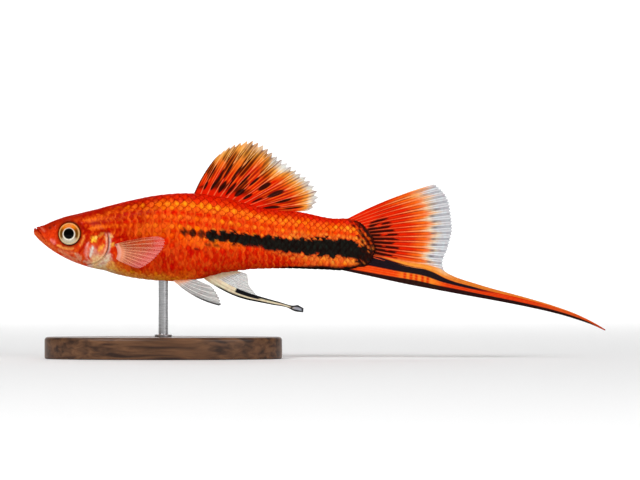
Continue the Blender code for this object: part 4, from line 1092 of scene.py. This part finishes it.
# The pectoral fins. A fleshy pale base just behind each gill cover carries twelve soft rays,
# spread like a fan and held out from the side. The web is clear, peach at its root and pink further out.
PECTORAL_RAYS = 12
PECTORAL_ROOT = ((18.8, -0.9), (19.4, -2.0), (19.5, -3.2), (19.2, -4.4))
PECTORAL_TIP = (
    (28.6, 0.85), (30.1, 0.2), (29.9, -1.5), (28.6, -3.4), (26.7, -5.1), (24.4, -6.35), (22.4, -5.9),
    (21.4, -5.2),
)
PECTORAL_LEAN = math.tan(math.radians(20))


def side_reach(x, z):
    """Half the body's width at a height, from the formula of its sections."""
    middle = line_through(WIDEST_HEIGHT)(x)
    reach, power = half_section(x, middle, z > middle)
    inside = np.clip(1 - np.abs((z - middle) / reach) ** power, 0.02, 1)
    return line_through(HALF_WIDTH)(x) * inside ** (1 / power)


def pectoral_colours(c, u, near, along):
    """Peach to pink by share of length, pale rays, a cream crescent on the fleshy base, and painted shade at
    the root of the upper rays.
    """
    colour = plain(c, (0.84, 0.29, 0.15))
    colour = tint(colour, (0.90, 0.20, 0.17), ease(u, 0.35, 0.85))
    colour = tint(colour, (0.50, 0.12, 0.02), 0.85 * (1 - ease(c, 1.0, 5.5)) * (1 - ease(u, 0.6, 0.95)))
    light = plain(c, (0.97, 0.54, 0.36))
    light = tint(light, (0.95, 0.40, 0.34), ease(u, 0.5, 0.9))
    colour = tint(colour, light, 0.65 * near * ease(along, 0.6, 1.6))
    between = bell(off_ray(c) - 0.3, 0.08) * ease(u, 0.15, 0.3) * (1 - ease(u, 0.75, 1))
    colour = tint(colour, (0.46, 0.07, 0.03), 0.25 * between)
    colour = tint(colour, (0.86, 0.37, 0.27), 1 - ease(along, 0.5, 0.9))
    # Painted shade at the root of the upper rays, where the fin leaves the body
    colour = tint(colour, (0.24, 0.04, 0.02), 0.85 * bell(along - 0.1, 0.3) * (1 - ease(c, 0.5, 2.0)))
    web = 0.60 + 0.12 * (1 - ease(c, 2, 5))
    return see_through(colour, 1 - web * (1 - 0.4 * near) * ease(along, 0.9, 2.2))


for word, side in (("left", -1), ("right", 1)):
    flat, c, u, near, along = rayed_fin(
        PECTORAL_ROOT, PECTORAL_TIP, lambda v: 0.25 - 0.5 * v, PECTORAL_RAYS, rows=60, notch=0.03, seed=23)
    start = path_through(PECTORAL_ROOT)(c[0] / (PECTORAL_RAYS - 1))
    lean = np.where(along > 0, PECTORAL_LEAN * along, 1.7 * along)
    ripple = 0.12 * np.sin(c * 0.9 + 2.5 * u) * ease(u, 0.3, 1)
    out = side * (side_reach(start[:, 0], start[:, 1]) + lean + ripple)
    flesh = 0.25 * (1 - ease(along, 0.4, 1.0))
    half = (0.07 + flesh) * (1 - 0.6 * ease(u, 0.75, 1)) + 0.09 * near * (1 - 0.5 * u) * ease(along, 0.3, 1.4)
    paint = pectoral_colours(c, u, near, along)
    add_fin("pectoral_fan_" + word, flat, half, paint, "pectoral_fin_" + word, out)


# The pelvic fins. A pair of narrow fins of six rays under the belly, orange at their root and nearly clear
# further out, with a dark front edge.
PELVIC_RAYS = 6
PELVIC_ROOT = ((31.8, -9.2), (33.7, -9.2), (36.0, -9.0))
PELVIC_TIP = ((42.8, -15.0), (42.4, -13.5), (41.5, -11.8), (40.3, -10.5), (38.3, -9.7))
PELVIC_LEAN = math.tan(math.radians(14))


def pelvic_colours(c, u, near, warm):
    """A warm root into greyish white by share of length, white rays between dark threads, one dark ray."""
    off = off_ray(c)
    colour = plain(c, (0.60, 0.60, 0.58))
    colour = tint(colour, warm, 0.7 * (1 - ease(u, 0.02, 0.22)))
    colour = tint(colour, (0.90, 0.88, 0.84), 0.75 * near * ease(u, 0.03, 0.15))
    thread = bell(off - 0.24, 0.07) * ease(u, 0.06, 0.2) * (1 - 0.5 * ease(u, 0.6, 0.9))
    colour = tint(colour, (0.08, 0.07, 0.06), 0.75 * thread)
    colour = tint(colour, (0.20, 0.19, 0.18), 0.45 * bell(off - 0.46, 0.06) * ease(u, 0.25, 0.4))
    first = (1 - ease(c, 0.2, 0.42)) * (0.35 + 0.6 * ease(u, 0.35, 0.6)) * ease(u, 0.1, 0.2)
    colour = tint(colour, (0.03, 0.03, 0.03), first)
    return see_through(colour, 1 - 0.5 * (1 - near) * ease(u, 0.1, 0.3) * ease(c, 0.1, 0.4))


for word, side in (("left", -1), ("right", 1)):
    flat, c, u, near, along = rayed_fin(
        PELVIC_ROOT, PELVIC_TIP, lambda v: -0.9 + 1.1 * v, PELVIC_RAYS, rows=54, notch=0.04, seed=24)
    out = side * (1.25 + PELVIC_LEAN * along)
    half = fin_half(near, u, web=0.08, ray=0.1)
    paint = pelvic_colours(c, u, near, (0.84, 0.30, 0.07))
    add_fin("pelvic_fan_" + word, flat, half, paint, "pelvic_fin_" + word, out)


# The male's anal fin. Its front rays are drawn out into one rod, cream with dark edges and a small claw at
# its end, and the rays behind them stay a short clear fan.
ROD_UNDER = (
    (37.6, -7.4), (38.8, -8.8), (40.2, -9.8), (42.4, -11.1), (45.2, -12.5), (48.1, -13.5), (51.3, -14.15),
    (54.4, -14.75), (57.6, -15.35), (59.4, -16.2), (61.3, -16.45),
)
ROD_DEPTH = (
    (0.0, 1.9), (0.3, 1.8), (0.45, 1.75), (0.6, 1.35), (0.75, 1.0), (0.86, 0.75), (0.94, 1.55), (1.0, 0.95),
)
ROD_GROOVES, ROD_JOINTS = 3, 34
ROD_THICK = ((0.0, 0.55), (0.5, 0.42), (0.86, 0.28), (0.94, 0.36), (1.0, 0.25))
FAN_RAYS = 7
FAN_ROOT = ((40.2, -8.7), (43.0, -7.9), (47.2, -7.3))
FAN_TIP = ((51.0, -12.7), (49.9, -11.4), (49.0, -10.2), (48.8, -8.8), (48.6, -7.75))


def rod_rings(rows, around):
    """Rings along the rod's lower line: ellipses of its depth and thickness, with lengthwise grooves and fine
    cross joints. Also gives the shares along and up the rod."""
    t = np.linspace(0, 1, rows)
    low = path_through(ROD_UNDER)(t)
    run = np.gradient(low, axis=0)
    up = np.stack([-run[:, 1], run[:, 0]], -1) / np.linalg.norm(run, axis=-1, keepdims=True)
    angle = np.linspace(0, 2 * math.pi, around, endpoint=False)
    level = 0.5 + 0.5 * np.sin(angle)
    flat = low[:, None, :] + up[:, None, :] * (line_through(ROD_DEPTH)(t)[:, None] * level)[..., None]
    groove = 1 - 0.3 * bell((level * ROD_GROOVES) % 1 - 0.5, 0.2)
    segments = 1 - 0.12 * bell((t * ROD_JOINTS) % 1 - 0.5, 0.15)[:, None] * ease(t, 0.35, 0.5)[:, None]
    y = line_through(ROD_THICK)(t)[:, None] * np.cos(angle) * groove * segments
    return np.stack([flat[..., 0], y, flat[..., 1]], -1), t[:, None] + 0 * level, level + 0 * t[:, None]


def rod_colours(t, level):
    """Cream between black edges, orange at the root, with a black patch along its upper half midway and a
    grey, dark edged end."""
    colour = plain(t, (0.80, 0.70, 0.48))
    colour = tint(colour, (0.82, 0.30, 0.06), 0.7 * (1 - ease(t, 0.06, 0.16)))
    seam = bell(level - 0.55, 0.07) * ease(t, 0.1, 0.2) * (1 - ease(t, 0.6, 0.8))
    colour = tint(colour, (0.40, 0.32, 0.16), 0.5 * seam)
    colour = tint(colour, (0.34, 0.36, 0.40), ease(t, 0.87, 0.92))
    thin = np.interp(t, (0, 0.3, 0.6, 0.9, 1), (0.10, 0.16, 0.24, 0.24, 0.2))
    lower = 1 - ease(level, thin, thin + 0.1)
    upper = ease(level, 0.86 - thin, 0.96 - thin) * ease(t, 0.36, 0.4)
    colour = tint(colour, (0.012, 0.012, 0.013), np.maximum(lower, upper) * ease(t, 0.14, 0.24))
    patch = ease(t, 0.36, 0.375) * (1 - ease(t, 0.58, 0.62)) * ease(level, 0.40, 0.48)
    colour = tint(colour, (0.010, 0.010, 0.012), patch)
    colour = tint(colour, (0.015, 0.015, 0.02), bell(t - 0.885, 0.012))
    return tint(colour, (0.03, 0.03, 0.035), ease(t, 0.975, 0.99))


rings, t, level = rod_rings(rows=150, around=32)
rod_horn = smooth_finish("rod_horn", 0.38, 0.15, 0.8, 0.25, 0.15, 0.01)
add_rings("anal_rod", rings, rings[[0, -1]].mean(axis=1), rod_horn, rod_colours(t, level),
          ("gonopodium",))
flat, c, u, near, along = rayed_fin(
    FAN_ROOT, FAN_TIP, lambda v: -0.45 + 0.5 * v, FAN_RAYS, rows=40, notch=0.04, seed=25)
half = fin_half(near, u, web=0.08, ray=0.09)
paint = pelvic_colours(c + 1, u, near, (0.72, 0.50, 0.24))
add_fin("anal_fan", flat, half, paint, "gonopodium")


# The stand. A turned oval base of dark lacquered wood with a rounded upper edge, which carries one brushed
# steel rod, let into the base through a thin collar and into the fish's belly.
BASE_LENGTH, BASE_WIDTH, BASE_THICKNESS, BASE_EDGE = 54.0, 27.0, 5.0, 0.8
BASE_FOOT = ((-0.9, 0.0), (-0.35, 0.02), (-0.08, 0.18), (0.0, 0.5))
BASE_TOP_INSET = 6.0
ROD_RADIUS, ROD_SUNK = 1.1, 0.3
BASE_CUTS, ROD_CUTS = 128, 48
# Width beyond the rod and height over the base of the collar's outline
COLLAR = ((0.02, 0.0), (0.75, 0.0), (0.9, 0.12), (0.9, 0.4), (0.78, 0.55), (0.3, 0.6), (0.02, 0.75))


def turned(outline, around, radii):
    """Rings of a turned piece on the rod's axis: ovals of two radii, widened by each (width, height) of an
    outline."""
    turn = np.linspace(0, 2 * math.pi, around, endpoint=False)
    width, height = np.array(outline, float).T
    x = ROD_FROM_SNOUT + np.cos(turn) * (width[:, None] + radii[0])
    y = np.sin(turn) * (width[:, None] + radii[1])
    return np.stack([x, y, height[:, None] - AXIS_HEIGHT + 0 * turn], -1)


def add_turned(name, rings, material, replaces=()):
    """A closed turned piece from its rings, lowest first."""
    ends = rings[[0, -1]].mean(axis=1)
    piece = add_rings(name, rings, ends, material, None, replaces, turned_out=True)
    piece.data.set_sharp_from_angle(angle=math.radians(35))


def wood_finish():
    """Dark wood: long grain as noise stretched along the base, with fine pores, under a satin lacquer."""
    material, tree, shader = new_finish("dark_wood")
    place = add_node(tree, "TexCoord").outputs["Object"]
    along = add_node(tree, "Mapping", {"Vector": place, "Scale": (60, 900, 900)}).outputs["Vector"]
    grain = add_node(tree, "TexNoise", {"Vector": along, "Scale": 1.0, "Detail": 6, "Distortion": 0.6})
    grain = grain.outputs["Fac"]
    tone = add_ramp(tree, grain, (0.32, (0.030, 0.012, 0.006)), (0.70, (0.17, 0.075, 0.032)))
    rough = add_node(tree, "MapRange", {"Value": grain, "To Min": 0.30, "To Max": 0.48})
    pores = add_node(tree, "Bump", {"Height": grain, "Strength": 0.225, "Distance": 0.00008})
    tree.links.new(tone, shader.inputs["Base Color"])
    tree.links.new(rough.outputs["Result"], shader.inputs["Roughness"])
    tree.links.new(pores.outputs["Normal"], shader.inputs["Normal"])
    shader.inputs["Coat Weight"].default_value = 0.12
    shader.inputs["Coat Roughness"].default_value = 0.25
    shader.inputs["Specular IOR Level"].default_value = 0.25
    return material


def steel_finish():
    """Brushed steel: fine streaks round the rod, as noise squeezed along its height, in tone and gloss."""
    material, tree, shader = new_finish("brushed_steel")
    place = add_node(tree, "TexCoord").outputs["Object"]
    around = add_node(tree, "Mapping", {"Vector": place, "Scale": (250, 250, 9000)}).outputs["Vector"]
    streaks = add_node(tree, "TexNoise", {"Vector": around, "Scale": 1.0, "Detail": 3}).outputs["Fac"]
    tone = add_ramp(tree, streaks, (0.3, (0.44, 0.44, 0.45)), (0.7, (0.66, 0.66, 0.67)))
    rough = add_node(tree, "MapRange", {"Value": streaks, "To Min": 0.2, "To Max": 0.38})
    tree.links.new(tone, shader.inputs["Base Color"])
    tree.links.new(rough.outputs["Result"], shader.inputs["Roughness"])
    shader.inputs["Metallic"].default_value = 1.0
    return material


arc = np.radians(np.linspace(0, 90, 8))
lip = np.stack([-BASE_EDGE * (1 - np.cos(arc)), BASE_THICKNESS - BASE_EDGE * (1 - np.sin(arc))], -1)
outline = [*BASE_FOOT, *lip.tolist(), (-BASE_TOP_INSET, BASE_THICKNESS)]
base = turned(outline, BASE_CUTS, (BASE_LENGTH / 2, BASE_WIDTH / 2))
add_turned("display_base", base, wood_finish(), ("stand_base",))
steel = steel_finish()
rod_top = float(line_through(BELLY)(np.array(ROD_FROM_SNOUT))) + AXIS_HEIGHT + ROD_SUNK
rod = turned([(0, BASE_THICKNESS + 0.01), (0, rod_top)], ROD_CUTS, (ROD_RADIUS, ROD_RADIUS))
add_turned("display_rod", rod, steel, ("stand_rod",))
outline = [(width, BASE_THICKNESS + height) for width, height in COLLAR]
add_turned("rod_collar", turned(outline, ROD_CUTS, (ROD_RADIUS, ROD_RADIUS)), steel)


# The studio: a pale floor that curves up into a backdrop, soft lamps on both sides and above, and a long lens
# level with the fish. Its lengths are in metres, in the part's frame.
FLOOR_FRONT, FLOOR_MIDDLE, FLOOR_BACK, FLOOR_BEND, WALL_TOP, FLOOR_HALF = -2.8, -0.6, 1.5, 0.35, 2.2, 3.0
LAMP_AIM = (0.03, 0.0, 0.03)
# What the picture is wide at the fish, and how far from it and where the lens is
VIEW_WIDTH, VIEW_AWAY, VIEW_X, VIEW_Z = 0.1454545, 1.2, 0.03561, 0.027


def add_floor():
    """A sheet that runs level under the stand and then up in a quarter circle behind it."""
    turn = np.radians(np.linspace(0, 90, 24))
    y = np.concatenate([[FLOOR_FRONT, FLOOR_MIDDLE], FLOOR_BACK + FLOOR_BEND * np.sin(turn)])
    y = np.append(y, FLOOR_BACK + FLOOR_BEND)
    z = np.concatenate([[0, 0], FLOOR_BEND * (1 - np.cos(turn)), [WALL_TOP]])
    points = np.stack(np.broadcast_arrays((-FLOOR_HALF, FLOOR_HALF), y[:, None], z[:, None]), axis=-1)
    index = np.arange(points.size // 3).reshape(points.shape[:2])
    faces = np.stack([index[:-1, 0], index[:-1, 1], index[1:, 1], index[1:, 0]], -1)
    mesh = bpy.data.meshes.new("studio_floor")
    mesh.from_pydata(points.reshape(-1, 3).tolist(), [], faces.tolist())
    mesh.shade_smooth()
    material, _, shader = new_finish("pale_paper")
    shader.inputs["Base Color"].default_value = (0.93, 0.93, 0.93, 1)
    shader.inputs["Roughness"].default_value = 0.9
    mesh.materials.append(material)
    floor = bpy.data.objects.new("studio_floor", mesh)
    bpy.context.scene.collection.objects.link(floor)


def add_lamp(name, place, aim, size, power):
    """A square soft lamp at a place, facing a point."""
    lamp = bpy.data.lights.new(name, "AREA")
    lamp.shape = "SQUARE"
    lamp.size = size
    lamp.energy = power
    made = bpy.data.objects.new(name, lamp)
    bpy.context.scene.collection.objects.link(made)
    made.location = place
    way = np.array(aim, float) - np.array(place, float)
    flat = math.hypot(way[0], way[1])
    made.rotation_euler = (math.atan2(flat, -way[2]), 0.0, math.atan2(way[1], way[0]) - math.pi / 2)


add_floor()
add_lamp("lamp_key", (-0.45, -0.75, 0.75), LAMP_AIM, 0.55, 7.6)
add_lamp("lamp_fill", (0.65, -0.8, 0.45), LAMP_AIM, 0.6, 4.3)
add_lamp("lamp_back", (0.03, 0.95, 1.15), (0.03, 1.85, 0.1), 0.9, 16.0)
world = bpy.data.worlds.new("studio")
world.use_nodes = True
world.node_tree.nodes["Background"].inputs["Color"].default_value = (1.0, 1.0, 1.0, 1.0)
world.node_tree.nodes["Background"].inputs["Strength"].default_value = 0.22
bpy.context.scene.world = world
bpy.context.scene.view_settings.view_transform = "Standard"

lens = bpy.data.cameras.new("camera")
lens.sensor_width = 36.0
lens.lens = lens.sensor_width * VIEW_AWAY / VIEW_WIDTH
lens.clip_start = 0.01
camera = bpy.data.objects.new("camera", lens)
bpy.context.scene.collection.objects.link(camera)
camera.location = (VIEW_X, -VIEW_AWAY, VIEW_Z)
camera.rotation_euler = (math.pi / 2, 0.0, 0.0)
bpy.context.scene.camera = camera
